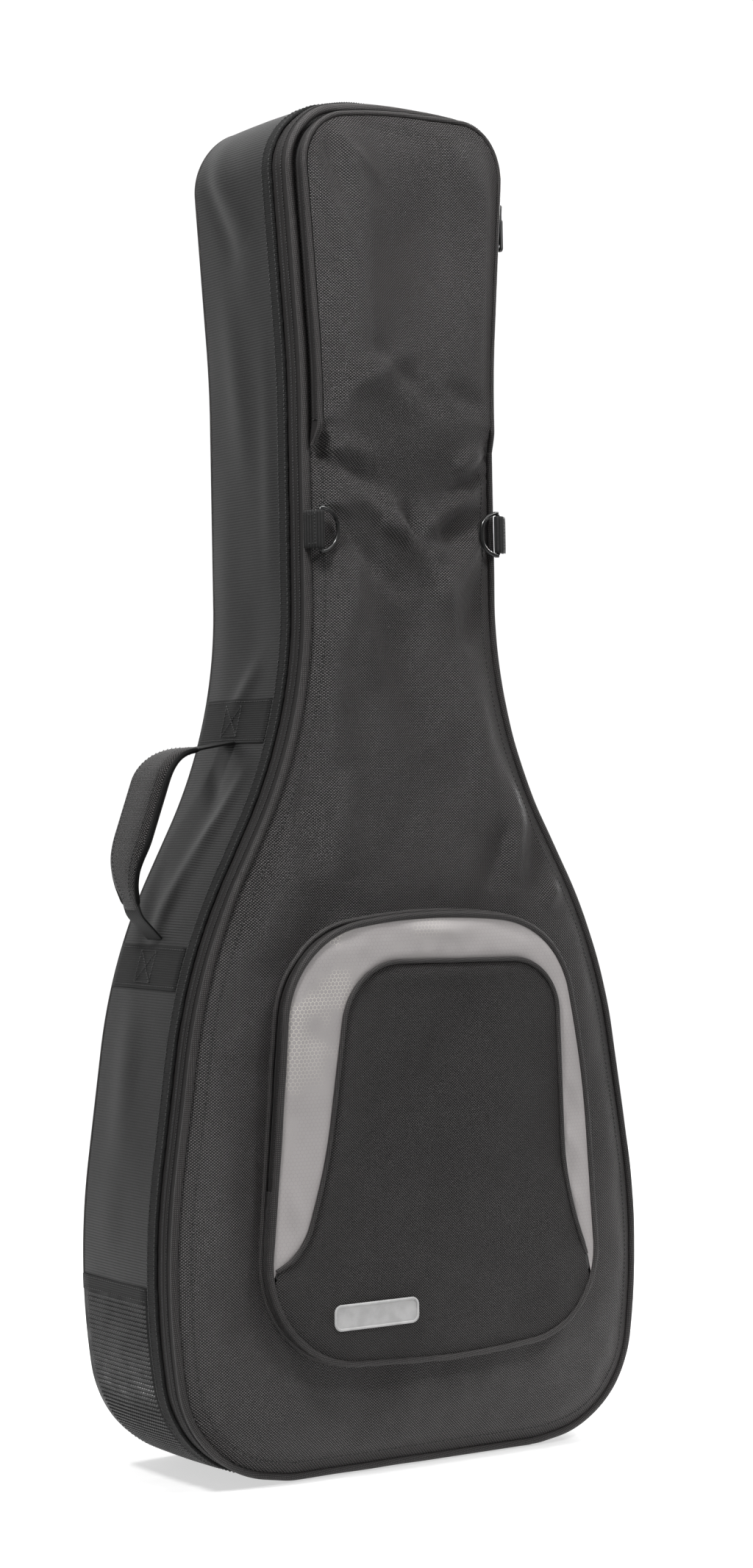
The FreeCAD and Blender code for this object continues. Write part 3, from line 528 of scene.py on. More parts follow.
def woven(name, pitch_u, pitch_v, dark, light, over=0.7, turn=0.0, roughness=0.45, specular=0.5, sheen=0.02,
          strength=0.6, depth=0.0004, patch=0.25, warm=0.07):
    """Cloth in a plain weave, painted lighter on the thread crowns and darker in the gaps between threads.
    over is how bright the upright threads are beside the level ones, a painted sheen.
    """
    n = Nodes(name, roughness, specular, sheen)
    u, v = n.cloth()
    if turn:
        c, s = math.cos(math.radians(turn)), math.sin(math.radians(turn))
        u, v = (
            n.math("ADD", n.math("MULTIPLY", u, c), n.math("MULTIPLY", v, s)),
            n.math("SUBTRACT", n.math("MULTIPLY", v, c), n.math("MULTIPLY", u, s)),
        )
    drift = n.noise(9.0, 2.0)
    u = n.math("MULTIPLY_ADD", drift, 0.35, n.math("DIVIDE", u, pitch_u))
    v = n.math("DIVIDE", v, pitch_v)
    height, odd = weave(n, u, v)
    tone = n.math("MULTIPLY_ADD", n.cell(u, v), 0.14, 0.93)
    tone = n.math("MULTIPLY", tone, n.math("MULTIPLY_ADD", odd, over - 1.0, 1.0))
    tone = n.math("MULTIPLY", tone, n.map(n.noise(5.0, 4.0, 0.6), 0.3, 0.7, 1 - patch, 1 + patch))
    # painted light: colour follows thread height, light on the crowns and dark in the gaps, and one set of
    # threads is painted darker than the other (over), a painted sheen
    lit = n.math("MULTIPLY", n.map(height, 0.15, 0.85), tone, clamp=True)
    colour = n.mix(lit, grey(dark, warm), grey(light, warm))
    rough = n.map(n.noise(14.0, 3.0), 0.3, 0.7, roughness - 0.06, roughness + 0.08)
    return n.finish(colour, height, strength, depth, rough)


def ribbed(name, pitch, dark, light, axis=0, fine=0.0012, roughness=0.6, sheen=0.03, strength=0.6,
           depth=0.0005, warm=0.0, patch=0.15):
    """Webbing or tape with ribs across one direction and fine threads across the other."""
    n = Nodes(name, roughness, 0.22, sheen)
    coordinates = n.cloth()
    rib = n.math("DIVIDE", coordinates[axis], pitch)
    thread = n.math("DIVIDE", coordinates[1 - axis], fine)
    shifted = n.math("ADD", thread, n.math("MULTIPLY", n.math("FLOOR", rib), 0.5))
    height = n.math("MULTIPLY_ADD", n.hump(shifted), 0.3, n.math("MULTIPLY", n.hump(rib), 0.7))
    tone = n.math("MULTIPLY_ADD", n.cell(rib, shifted), 0.25, 0.8)
    tone = n.math("MULTIPLY", tone, n.map(n.noise(20.0, 4.0, 0.6), 0.3, 0.7, 1 - patch, 1 + patch))
    # painted light: the colour follows the rib height, lighter on the crowns and darker in the grooves
    lit = n.math("MULTIPLY", n.map(height, 0.2, 0.9), tone, clamp=True)
    colour = n.mix(lit, grey(dark, warm), grey(light, warm))
    return n.finish(colour, height, strength, depth)


def plain(name, level, roughness, scale=900.0, depth=0.0001, specular=0.5, metallic=0.0, sheen=0.0, warm=0.0,
          spread=0.2, coat=0.0, edge_lift=0.0):
    """Moulded, plated or brushed material: fine grain with slow changes of tone, and lighter sharp edges."""
    n = Nodes(name, roughness, specular, sheen, metallic=metallic, coat=coat)
    grain = n.noise(scale, 3.0, 0.6)
    slow = n.map(n.noise(25.0, 4.0, 0.6), 0.3, 0.7, 1 - spread, 1 + spread)
    tone = n.math("MULTIPLY", n.math("MULTIPLY_ADD", grain, 0.3, 0.85), slow)
    colour = n.mix(n.math("MULTIPLY", tone, 0.5, clamp=True), (0, 0, 0), grey(min(1.0, 2 * level), warm))
    # sharp edges, found by pointiness, are coloured lighter
    if edge_lift:
        edge = n.map(n.new("NewGeometry").outputs["Pointiness"], 0.52, 0.62)
        colour = n.mix(n.math("MULTIPLY", edge, edge_lift), colour, grey(min(1.0, level * 3 + 0.05), warm))
    rough = n.map(n.noise(60.0, 3.0), 0.3, 0.7, max(0.05, roughness - 0.07), roughness + 0.1)
    return n.finish(colour, grain, 0.5, depth, rough)


ballistic = woven("ballistic_nylon", 0.00125, 0.00112, 0.001, 0.135, over=0.05, roughness=0.34,
                  specular=0.30, patch=0.12, strength=1.0, depth=0.0007)
ballistic_fine = woven("ballistic_nylon_fine", 0.00118, 0.00106, 0.001, 0.094, over=0.05, roughness=0.38,
                       specular=0.2, patch=0.12, strength=1.0, depth=0.0007)
side_nylon = woven("back_nylon", 0.0012, 0.0015, 0.001, 0.040, over=0.15, roughness=0.42, specular=0.2,
                   strength=0.7, depth=0.0003, patch=0.08)
# painted shade: the side wall's nylon is given darker colours than the front's, though it is the same black
# cloth, to stand for shade on the side wall
gusset_nylon = ribbed("gusset_nylon", 0.0022, 0.006, 0.029, axis=0, fine=0.0012, roughness=0.42, sheen=0.02,
                      strength=0.6, depth=0.0003, patch=0.08)
cord_nylon = woven("piping_nylon", 0.0011, 0.0011, 0.001, 0.085, over=0.3, turn=38.0, roughness=0.5,
                   specular=0.25, depth=0.0004)
tape_cloth = ribbed("zip_tape", 0.0009, 0.008, 0.022, axis=0, fine=0.0007, roughness=0.62, strength=0.25,
                    depth=0.0001, warm=0.08)
binding_cloth = ribbed("binding_tape", 0.0016, 0.002, 0.013, axis=0, fine=0.0011, roughness=0.75,
                       depth=0.0005)
webbing_cloth = ribbed("webbing", 0.0019, 0.002, 0.014, axis=0, fine=0.0012, roughness=0.6, depth=0.0005)
webbing_cross = ribbed("webbing_cross", 0.0022, 0.004, 0.028, axis=1, fine=0.0012, roughness=0.6,
                       depth=0.0005)
thread = plain("sewing_thread", 0.02, 0.6, 2500.0, sheen=0.2)
gunmetal = plain("gunmetal", 0.05, 0.28, 1200.0, 0.00003, metallic=0.9, coat=0.3, edge_lift=0.5)
black_plastic = plain("black_plastic", 0.02, 0.42, 1500.0, 0.00005, edge_lift=0.25)
puller_rubber = plain("puller_rubber", 0.022, 0.5, 1800.0, 0.00006, edge_lift=0.2)
# painted shade: the guard's skin between the raised cells is a darker copy of the same rubber as the cells
guard_rubber = plain("guard_rubber", 0.010, 0.50, 1500.0, 0.00006, specular=0.2)
guard_raised = plain("guard_rubber_raised", 0.034, 0.36, 1500.0, 0.00006, specular=0.3, edge_lift=0.25)
foam_material = plain("foam", 0.12, 0.9, 1500.0, 0.0004)
fleece = plain("lining_fleece", 0.09, 0.95, 1100.0, 0.0005, sheen=0.3, spread=0.07)
air_mesh = woven("strap_mesh", 0.0026, 0.0026, 0.004, 0.05, over=0.9, turn=45.0, roughness=0.8, strength=1.0,
                 depth=0.0008)


def ripstop():
    """Pale ripstop with a fine honeycomb, whose lines carry a painted highlight towards the upper left."""
    n = Nodes("grey_ripstop", 0.55, 0.3, 0.1)
    u, v = n.cloth()
    pitch = 0.0034
    x, y = n.math("DIVIDE", u, pitch), n.math("DIVIDE", v, pitch)

    def lattice(shift):
        a = n.math("SUBTRACT", n.math("FLOORED_MODULO", n.math("ADD", x, shift * 0.5), 1.0), 0.5)
        b = n.math("SUBTRACT", n.math("FLOORED_MODULO", n.math("ADD", y, shift * 0.866), 1.732), 0.866)
        a, b = n.math("ABSOLUTE", a), n.math("ABSOLUTE", b)
        slope = n.math("ADD", n.math("MULTIPLY", a, 0.5), n.math("MULTIPLY", b, 0.866))
        return n.math("MAXIMUM", a, slope)

    near = n.math("MINIMUM", lattice(0.0), lattice(1.0))
    line = n.map(near, 0.44, 0.48)
    weave_u, weave_v = n.math("DIVIDE", u, 0.0007), n.math("DIVIDE", v, 0.0007)
    height, _ = weave(n, weave_u, weave_v)
    slow = n.map(n.noise(12.0, 3.0), 0.3, 0.7, 0.93, 1.05)
    base = n.mix(n.math("MULTIPLY", line, 0.55), grey(0.38, 0.06), grey(0.27, 0.06))
    # painted highlight: the honeycomb lines are made brighter towards the upper left, where they would glint
    glint = n.map(n.math("ADD", n.math("MULTIPLY", u, -1.0), v), 0.37, 0.50)
    glint = n.math("MULTIPLY", glint, n.map(n.noise(22.0, 2.0), 0.45, 0.6))
    bright = n.mix(n.math("MULTIPLY", line, glint), base, (0.85, 0.82, 0.74))
    shade = n.mix(slow, (0.0, 0.0, 0.0), bright)
    relief = n.math("SUBTRACT", n.math("MULTIPLY", height, 0.25), n.math("MULTIPLY", line, 0.5))
    return n.finish(shade, relief, 0.4, 0.00025)


grey_ripstop = ripstop()


def label_thread():
    n = Nodes("label_thread", 0.4, 0.5, 0.3)
    u, v = n.cloth()
    ridge = n.hump(n.math("DIVIDE", n.math("ADD", u, n.math("MULTIPLY", v, 0.4)), 0.0007))
    # painted light: the stitches are coloured light on their ridges and dark in the grooves between them
    tone = n.math("MULTIPLY", n.math("MULTIPLY_ADD", ridge, 0.5, 0.5),
                  n.map(n.noise(90.0), 0.3, 0.7, 0.8, 1.1), clamp=True)
    return n.finish(n.mix(tone, grey(0.15), grey(0.62, 0.01)), ridge, 0.7, 0.0003)


label_cloth = label_thread()

# ---------------------------------------------------------------- shared shapes
def segment(x, z, line):
    """Distance from a line between two places, and how far along it, from 0 to 1."""
    x0, z0, x1, z1 = line
    dx, dz = x1 - x0, z1 - z0
    t = np.clip(((x - x0) * dx + (z - z0) * dz) / (dx * dx + dz * dz), 0, 1)
    return np.hypot(x - x0 - t * dx, z - z0 - t * dz), t


def creases(x, z, folds):
    """Soft folds, each (x0, z0, x1, z1, width, height); positive stands proud."""
    total = np.zeros_like(x, dtype=float)
    for *line, width, height in folds:
        off, t = segment(x, z, line)
        total += height * bell(off, width) * np.sin(math.pi * np.clip(t, 0.03, 0.97)) ** 0.8
    return total


def strap(name, points, side, width, thick, material, power=5.0, sides=20, ends=0.0, angle=50.0):
    """Webbing or padding along a line of points; side is the direction of its width.
    width and thick are numbers or functions of the share of the length; ends rounds off both ends."""
    points = np.array(points, float)
    run = np.concatenate([[0], np.cumsum(np.linalg.norm(np.diff(points, axis=0), axis=1))])
    share = run / run[-1]
    tangent = np.gradient(points, axis=0)
    tangent /= np.linalg.norm(tangent, axis=1, keepdims=True)
    side = np.array(side, float)
    side = side - tangent * (tangent @ side)[:, None]
    side /= np.linalg.norm(side, axis=1, keepdims=True)
    normal = np.cross(side, tangent)
    widths = np.array([width(t) if callable(width) else width for t in share])
    thicks = np.array([thick(t) if callable(thick) else thick for t in share])
    if ends:
        near_end = np.clip(np.minimum(run, run[-1] - run) / ends, 0, 1)
        scale = np.sqrt(np.clip(1 - (1 - near_end) ** 2, 0.02, 1))
        widths, thicks = widths * (0.25 + 0.75 * scale), thicks * scale
    turn = np.arange(sides) * 2 * math.pi / sides
    c = np.sign(np.cos(turn)) * np.abs(np.cos(turn)) ** (2 / power)
    s = np.sign(np.sin(turn)) * np.abs(np.sin(turn)) ** (2 / power)
    vertices = (
        points[:, None]
        + side[:, None] * (c * widths[:, None] / 2)[..., None]
        + normal[:, None] * (s * thicks[:, None] / 2)[..., None]
    ).reshape(-1, 3)
    rows = len(points)
    faces, spots = grid_faces(rows, sides, False, True)
    across = c * widths[:, None] / 2
    u = across[spots[..., 0], spots[..., 1] % sides]
    uvs = np.stack([u, run[spots[..., 0]]], -1).reshape(-1, 2).tolist()
    faces = faces.tolist()
    for row in (0, rows - 1):
        faces.append([row * sides + k for k in range(sides)])
        uvs += [(across[row, k], run[row]) for k in range(sides)]
    return make(name, vertices, faces, uvs, material, angle)


def bend_line(corners, y, step=2.5):
    """A rounded line in X and Z at one depth, as points."""
    line = Outline(corners, closed=False)
    places = line.place(line.steps(step, (0, line.length)))
    return np.stack([places[:, 0], np.full(len(places), y), places[:, 1]], -1)


def straight(start, end, step=4.0):
    start, end = np.array(start, float), np.array(end, float)
    count = max(2, round(np.linalg.norm(end - start) / step) + 1)
    return start + (end - start) * np.linspace(0, 1, count)[:, None]


def box_stitch(name, centre, along, across, length, width, up, material, cross=True):
    """A sewn rectangle with an X in it, as on webbing ends."""
    centre, along, across = (np.array(v, float) for v in (centre, along, across))
    a, b = along * length / 2, across * width / 2
    corners = [centre - a - b, centre + a - b, centre + a + b, centre - a + b]
    lines = [corners[k:k + 2] if k < 3 else [corners[3], corners[0]] for k in range(4)]
    if cross:
        lines += [[corners[0], corners[2]], [corners[1], corners[3]]]
    parts = [stitch_path(name, line, up, material, 3.0, 2.3, 0.36) for line in lines]
    return join(name, parts)


def join(name, parts):
    """Several mesh objects made one."""
    bm = bmesh.new()
    for part in parts:
        bm.from_mesh(part.data)
    mesh = parts[0].data.copy()
    bm.to_mesh(mesh)
    bm.free()
    material = parts[0].data.materials[0]
    for part in parts:
        bpy.data.objects.remove(part)
    mesh.name = name
    obj = bpy.data.objects.new(name, mesh)
    if not mesh.materials:
        mesh.materials.append(material)
    bpy.context.scene.collection.objects.link(obj)
    return obj


# ---------------------------------------------------------------- front panel
CROWN_RUN = 16.0


def head_step(z):
    """0 on the neck, 1 where the head pocket stands off the bag."""
    return smooth(z, 812, 838)


def panel_inset(z):
    return 3.0 + 4.9 * head_step(z)


BAG_LINE = BAG.offset(0.0, 2.0)
POCKET_LINE = POCKET.offset(0.0, 2.0)
ARCH_LINE = ARCH.place(ARCH.steps(2.0, (0, ARCH.length)))

NECK_FOLDS = [
    (-84, 826, -30, 806, 9, 2.2), (-86, 812, -20, 776, 7, -1.6), (-80, 796, 25, 742, 12, 2.8),
    (-82, 770, 10, 690, 9, -1.5), (-78, 750, -18, 620, 16, 2.6), (-70, 735, 20, 570, 20, -1.8),
    (84, 830, 42, 798, 10, 2.4), (86, 806, 38, 776, 8, -2.0), (80, 790, 20, 752, 12, 1.8),
    (20, 742, 82, 772, 10, -1.6), (-30, 760, 10, 735, 8, 1.8), (-8, 775, 22, 738, 7, -1.8),
    (18, 765, 40, 722, 9, 1.5), (82, 760, 30, 690, 14, 1.8), (84, 730, 46, 640, 13, -1.2),
    (-86, 690, -58, 560, 12, 1.6), (0, 700, 40, 520, 28, -2.0), (60, 640, 96, 500, 16, 1.6),
    (-95, 600, -100, 470, 14, -1.4), (-70, 560, -60, 470, 18, 1.6), (110, 560, 96, 462, 12, 1.8),
    (128, 520, 116, 452, 10, -1.6), (150, 470, 128, 440, 8, 1.4), (100, 520, 70, 458, 12, -1.5),
    (-82, 804, -12, 772, 5.5, 1.0), (-64, 792, 18, 748, 5.5, -0.8), (-86, 834, -58, 800, 5.5, 1.1),
    (-22, 772, 8, 736, 5, 1.1), (2, 766, 10, 734, 4.5, -1.0), (84, 818, 48, 798, 5, 1.1),
    (84, 792, 40, 778, 5, 0.9), (62, 772, 20, 736, 5.5, -0.9), (-40, 740, -66, 640, 8, 0.9),
    (30, 730, 60, 640, 9, 0.8), (-84, 780, -50, 764, 5, 0.9),
]
HEAD_FOLDS = [
    (-80, 1072, -52, 990, 12, -1.6), (-82, 1050, -70, 880, 10, 0.8), (-40, 1076, 30, 1060, 10, -0.9),
    (-50, 1090, -44, 850, 20, 3.0), (16, 1060, 24, 860, 26, -1.8), (82, 1070, 76, 860, 12, 1.6),
    (-84, 1000, -60, 930, 8, -1.0), (30, 1076, 84, 1010, 14, 1.0), (-78, 1070, -30, 1030, 6, 1.1),
    (-80, 1060, -48, 1000, 5, -0.9), (-84, 1040, -50, 960, 6, 0.9), (-86, 980, -64, 960, 4, 0.7),
    (-86, 940, -66, 926, 4, 0.7), (-40, 900, 40, 842, 9, -1.3), (-70, 852, 10, 900, 10, 1.3),
    (-80, 900, -70, 842, 7, -1.4), (-60, 880, 20, 850, 16, 1.4), (30, 870, 80, 846, 10, -1.4),
]
BODY_FOLDS = [
    (-190, 330, -160, 120, 26, 1.4), (-180, 60, -60, 34, 20, 1.2), (60, 30, 170, 60, 22, -1.0),
    (196, 300, 180, 120, 20, 1.0), (-100, 500, -150, 400, 24, 1.2), (-60, 60, 100, 50, 26, 1.0),
]


def neck_height(x, z, d):
    crown = 9.5 + 4.2 * smooth(-z, -570, -400)
    y = SEAM_Y - 0.4 - crown * (1 - np.exp(-np.clip(d - 3, 0, None) / CROWN_RUN))
    loose = smooth(d, 2, 22)
    y -= loose * 3.1 * creases(x, z, NECK_FOLDS + BODY_FOLDS)
    y -= loose * (2.6 * field(x / 42 + 7, z / 75 + 3, 5) + 0.7 * field(x / 17, z / 25, 8))
    return y


def head_height(x, z, d):
    y = -91.2 - 5.0 * (1 - np.exp(-np.clip(d - 7.9, 0, None) / 15))
    loose = smooth(d, 7, 24)
    y -= loose * 2.4 * creases(x, z, HEAD_FOLDS)
    return np.minimum(y - loose * 1.6 * field(x / 40 + 2, z / 70, 11), -91.2)


def front_height(x, z):
    d = distance(np.stack([x, z], -1), BAG_LINE)
    edge = head_step(z)
    t = edge + (smooth(z, 776, 850) - edge) * smooth(d, 4, 30)
    y = neck_height(x, z, d) * (1 - t) + head_height(x, z, d) * t
    gathers = smooth(z, 770, 800) * smooth(-z, -850, -822) * bell(d - 8, 12)
    return y - 0.8 * gathers * np.sin(z / 1.9 + 2 * field(x / 9, z / 9, 4))


def under_height(x, z):
    """The cover's own skin where the head pocket lies over it."""
    d = distance(np.stack([x, z], -1), BAG_LINE)
    return SEAM_Y - 0.4 - 5.0 * (1 - np.exp(-np.clip(d - 3, 0, None) / 16))


front_panel = panel("front_panel", BAG.offset(panel_inset), front_height, ballistic, 3.2, 1.0)
cross(front_panel, HEAD_FOLD, "ballistic_nylon", ["front_fabric", "head_panel"], 0.7)

under_loop = BAG.offset(3.2, 4.0)
under_loop = under_loop[under_loop[:, 1] > 803]
pocket_back = panel("head_pocket_back", under_loop, under_height, side_nylon, 8.0, 0.8)
ride("cover", pocket_back, slot="gusset_nylon")


def wander(reach, out_seed, run, y_seed):
    """Makes a cord wander a little in its seam."""
    def shape(s, out, y, places):
        return out + reach * field(s / 30, 0 * s, out_seed), y + 0.3 * field(s / run, 1, y_seed)
    return shape


front_cord = sweep("front_piping_cord", BAG, circle(0, SEAM_Y, 3.0, 14), cord_nylon, step=2.5,
                   shape=wander(0.25, 3, 40, 9))
ride("cover", front_cord, slot="piping_nylon", replaces=["front_piping"])

top_line = BAG.steps(3.9)
top_spots, top_out = BAG.at(top_line)
keep = top_spots[:, 1] < 800
inner = top_spots - top_out * 12.0
inner = np.stack([inner[:, 0], front_height(inner[:, 0], inner[:, 1]) - 0.15, inner[:, 1]], -1)[keep]
ahead = np.stack([-top_out[:, 1], np.zeros(len(top_out)), top_out[:, 0]], -1)[keep]
up = np.tile([0.0, -1.0, 0.0], (len(inner), 1))
ride("cover", stitch_line("front_topstitch", inner, ahead, up, thread))

# ---------------------------------------------------------------- main zip: two tapes that meet over the coil
def lip(y, towards):
    """Outer line of a zip tape whose edge rolls over the coil."""
    return -0.1 + 1.5 * bell(y - SPLIT_Y - towards * 1.6, 1.7)


def tape_profile(y0, y1, towards, thick=0.9, count=12):
    ys = [y0 + (y1 - y0) * k / count for k in range(count + 1)]
    outer = [(0.2 + lip(y, towards), y) for y in ys]
    return outer + [(0.2 - thick, y) for y in reversed(ys)]


HINGE_X = 220
HINGE_LOW, HINGE_HIGH = 100.0, 250.0
zip_span = (BAG.near(HINGE_X, HINGE_HIGH), BAG.near(HINGE_X, HINGE_LOW) + BAG.length)
TOOTH = [(-0.55, -1.3, 0), (0.55, -1.3, 0), (0.55, 1.3, 0), (-0.55, 1.3, 0), (-0.35, -0.9, 0.8),
         (0.35, -0.9, 0.8), (0.35, 0.9, 0.8), (-0.35, 0.9, 0.8)]
TOOTH_FACES = [(4, 5, 6, 7), (0, 1, 5, 4), (1, 2, 6, 5), (2, 3, 7, 6), (3, 0, 4, 7), (3, 2, 1, 0)]
for body, side, edge, way in (("shell", "rear", TAPE_REAR_Y + 3, 1), ("cover", "front", SEAM_Y + 2.2, -1)):
    tape = sweep(f"main_zip_tape_{side}", BAG, tape_profile(SPLIT_Y + 0.15 * way, edge, way), tape_cloth,
                 zip_span)
    ride(body, tape, slot="zip_tape", replaces=[f"main_zip_{side}"])
    row = along_outline(BAG, 0.95, SPLIT_Y + 3.6 * way, 2.3, zip_span)
    ride(body, stitch_line(f"main_zip_stitch_{side}", *row, thread, 1.8, 0.42))
    row = along_outline(BAG, -1.6, SPLIT_Y + 1.3 * way, 2.1, zip_span)
    ride(body, scatter(f"main_zip_coil_{side}", TOOTH, TOOTH_FACES, *row, black_plastic))

# ---------------------------------------------------------------- side wall
GUSSET_FOLDS = [
    (40, 60, 130, -10, 14, 1.6), (60, 64, 150, 10, 10, -1.3), (150, 40, 330, 10, 16, 1.1),
    (200, -20, 420, -24, 10, 0.8), (300, 55, 560, 50, 20, 1.0), (470, -10, 520, 30, 9, 1.4),
    (560, 40, 600, 0, 9, -1.3), (600, -6, 720, 30, 12, 1.5), (640, 55, 760, 20, 12, -1.0),
    (560, -20, 640, 5, 8, 1.2), (760, 30, 900, 20, 18, 1.0),
]
LEFT_TOP = BAG.near(-98, 1060)


def gusset_shape(s, out, y, places):
    """The wall swells between its seams and carries soft folds; running lengths count down the left side."""
    rear = (y - TAPE_REAR_Y) / (71 - TAPE_REAR_Y)
    outer = out > 0.5
    swell = 1.3 * np.sin(math.pi * np.clip(rear, 0, 1)) ** 0.7
    fold = creases(s - LEFT_TOP + 60 + 0 * y, y, GUSSET_FOLDS)
    mirrored = creases(BAG.length - s - (BAG.length - BAG.near(98, 1060)) + 60 + 0 * y, y, GUSSET_FOLDS)
    calm = np.sin(math.pi * np.clip(rear, 0.02, 0.98)) ** 0.5
    drift = 0.5 * field(s / 60, y / 30, 21) + 0.9 * bell(field(s / 160, 0 * y, 2), 0.4)
    return out + np.where(outer, swell + calm * (1.5 * (fold + mirrored) + drift), 0), y


gusset_outer = [(1.3, TAPE_REAR_Y + 1 + k * 119.5 / 30) for k in range(31)]
gusset_skin = sweep("gusset_skin", BAG, gusset_outer + [(0.0, 71.2), (0.0, -48.5)], gusset_nylon, step=4.0,
                    shape=gusset_shape)
ride("shell", gusset_skin, slot="gusset_nylon", replaces=["gusset_fabric"], padded=0.7)

binding = sweep("gusset_binding", BAG, slab(1.0, 2.9, TAPE_REAR_Y - 0.6, BINDING_REAR_Y, 0.6, 6),
                binding_cloth, step=2.5, shape=lambda s, out, y, p: (
                    out + 0.25 * field(s / 6, y / 5, 13), y + 0.35 * field(s / 5, 0 * y, 14)))
ride("shell", binding, slot="webbing", replaces=["binding_tape"])
for name, y in (("binding_stitch_front", TAPE_REAR_Y + 1.2), ("binding_stitch_rear", BINDING_REAR_Y - 2.0)):
    ride("shell", stitch_line(name, *along_outline(BAG, 3.0, y, 3.6), thread))

rear_cord = sweep("rear_piping_cord", BAG, circle(-0.5, 73.0, 2.1, 10), cord_nylon, step=3.0)
ride("shell", rear_cord, slot="piping_nylon", replaces=["rear_piping"])

# ---------------------------------------------------------------- scuff guard
GUARD_Z = 146.0
left_guard, right_guard = BAG.near(-216, GUARD_Z), BAG.near(216, GUARD_Z)
guard_span = (left_guard, right_guard + BAG.length)
guard = sweep("scuff_guard_skin", BAG, slab(1.0, 2.7, BINDING_REAR_Y + 0.4, 71.2, 0.7, 12), guard_rubber,
              guard_span,
              shape=lambda s, out, y, p: (out + 0.8 * np.sin(math.pi * np.clip((y + 36) / 107, 0, 1)), y))
ride("shell", guard, slot="guard_rubber", replaces=["scuff_guard"])
CELL_U, CELL_Y = 3.7, 3.5
cell_origins, cell_ahead, cell_up = [], [], []
for row in range(int(100 / CELL_Y)):
    y = BINDING_REAR_Y + 4.5 + row * CELL_Y
    swell = 0.8 * math.sin(math.pi * (y + 36) / 107)
    origins, ahead, up = along_outline(
        BAG, 2.65 + swell, y, CELL_U, (guard_span[0] + 4, guard_span[1] - 4))
    cell_origins.append(origins)
    cell_ahead.append(ahead)
    cell_up.append(up)
CELL_RIM = [(1.35 * math.cos(a), 1.6 * math.sin(a), -0.1) for a in np.arange(8) * math.pi / 4 + math.pi / 8]
CELL_MIDDLE = [(0.78 * x, 0.78 * y, 0.8) for x, y, _ in CELL_RIM]
CELL_TOP = [(0.35 * x, 0.35 * y, 1.15) for x, y, _ in CELL_RIM]
CELL_FACES = [
    (ring + k, ring + (k + 1) % 8, ring + 8 + (k + 1) % 8, ring + 8 + k) for ring in (0, 8) for k in range(8)
]
CELL_FACES.append(tuple(range(16, 24)))
guard_cells = scatter("scuff_guard_cells", CELL_RIM + CELL_MIDDLE + CELL_TOP, CELL_FACES,
                      np.vstack(cell_origins), np.vstack(cell_ahead), np.vstack(cell_up), guard_raised, 20.0)
ride("shell", guard_cells)

for name, low, high in (("guard_trim_left", left_guard - 11, left_guard + 1),
                        ("guard_trim_right", right_guard - 1, right_guard + 11)):
    trim = sweep(name, BAG, slab(1.5, 3.3, BINDING_REAR_Y + 0.3, 71.4, 0.5, 10), webbing_cloth, (low, high),
                 1.5)
    ride("shell", trim, slot="webbing", replaces=["guard_trim"] if "left" in name else ())
    for k, at in enumerate((low + 1.6, high - 1.6)):
        spot, out = BAG.at(at)
        line = straight((spot[0] + out[0] * 3.4, -34, spot[1] + out[1] * 3.4),
                        (spot[0] + out[0] * 3.4, 70, spot[1] + out[1] * 3.4))
        ride("shell", stitch_path(f"{name}_stitch_{k}", line, (out[0], 0, out[1]), thread))

# ---------------------------------------------------------------- head pocket
HEAD_X = 88
head_right, head_left = BAG.near(HEAD_X, 816), BAG.near(-HEAD_X, 816)
head_cord = sweep("head_piping_cord", BAG, circle(-5.7, -89.5, 2.3, 12), cord_nylon, (head_right, head_left),
                  2.5, shape=lambda s, out, y, p: (
                      out + 3.2 * (1 - head_step(p[:, 1:] + 4)), y + 10.0 * (1 - head_step(p[:, 1:] + 4))))
cross(head_cord, HEAD_FOLD, "piping_nylon", ["head_piping"])
tape_right, tape_left = BAG.near(HEAD_X, 836), BAG.near(-HEAD_X, 836)
HEAD_SPLIT = -82.95


def band(y0, y1, out, split, towards, thick=0.9, count=8):
    """A zip tape's profile with its edge rolled at the split."""
    ys = [y0 + (y1 - y0) * k / count for k in range(count + 1)]
    outer = [(out + 0.9 * bell(y - split - towards * 1.3, 1.3), y) for y in ys]
    return outer + [(out - thick, y) for y in reversed(ys)]


def zip_side(zipper, side, body, outline, out, split, edge, span, stitched):
    """One side of a pocket's zip: its tape from the split to the edge, and its row of stitches."""
    way = 1 if side == "rear" else -1
    profile = band(split + 0.15 * way, edge, out, split, way)
    tape = sweep(f"{zipper}_zip_tape_{side}", outline, profile, tape_cloth, span)
    ride(body, tape, slot="zip_tape", replaces=[f"{zipper}_zip_{side}"])
    row = along_outline(outline, out + 0.3, split + 2.7 * way, 2.3, stitched)
    ride(body, stitch_line(f"{zipper}_zip_stitch_{side}", *row, thread, 1.6, 0.36))


tape_span = (tape_right, tape_left)
zip_side("head", "rear", "cover", BAG, -5.2, HEAD_SPLIT, -76.6, tape_span, tape_span)
zip_side("head", "front", "head_flap", BAG, -5.2, HEAD_SPLIT, -88.6, tape_span, tape_span)


def end_shape(s, out, y, places):
    """Webbing over the zip's end, from the tape's full width down to nothing at the neck."""
    step = head_step(places[:, 1:])
    share = (y - y.min()) / (y.max() - y.min())
    front = SEAM_Y - 0.6 - 14.6 * step
    return out - 2.4 - 2.9 * step, front + share * (SEAM_Y + 0.6 - front)


for name, low, high in (("head_zip_end_right", BAG.near(HEAD_X, 809), BAG.near(HEAD_X, 839)),
                        ("head_zip_end_left", BAG.near(-HEAD_X, 839), BAG.near(-HEAD_X, 809))):
    stop = sweep(name, BAG, slab(-1.3, 0.0, -90.0, -76.0, 0.4, 6), tape_cloth, (low, high), 1.2,
                 shape=end_shape)
    ride("cover", stop, slot="webbing")

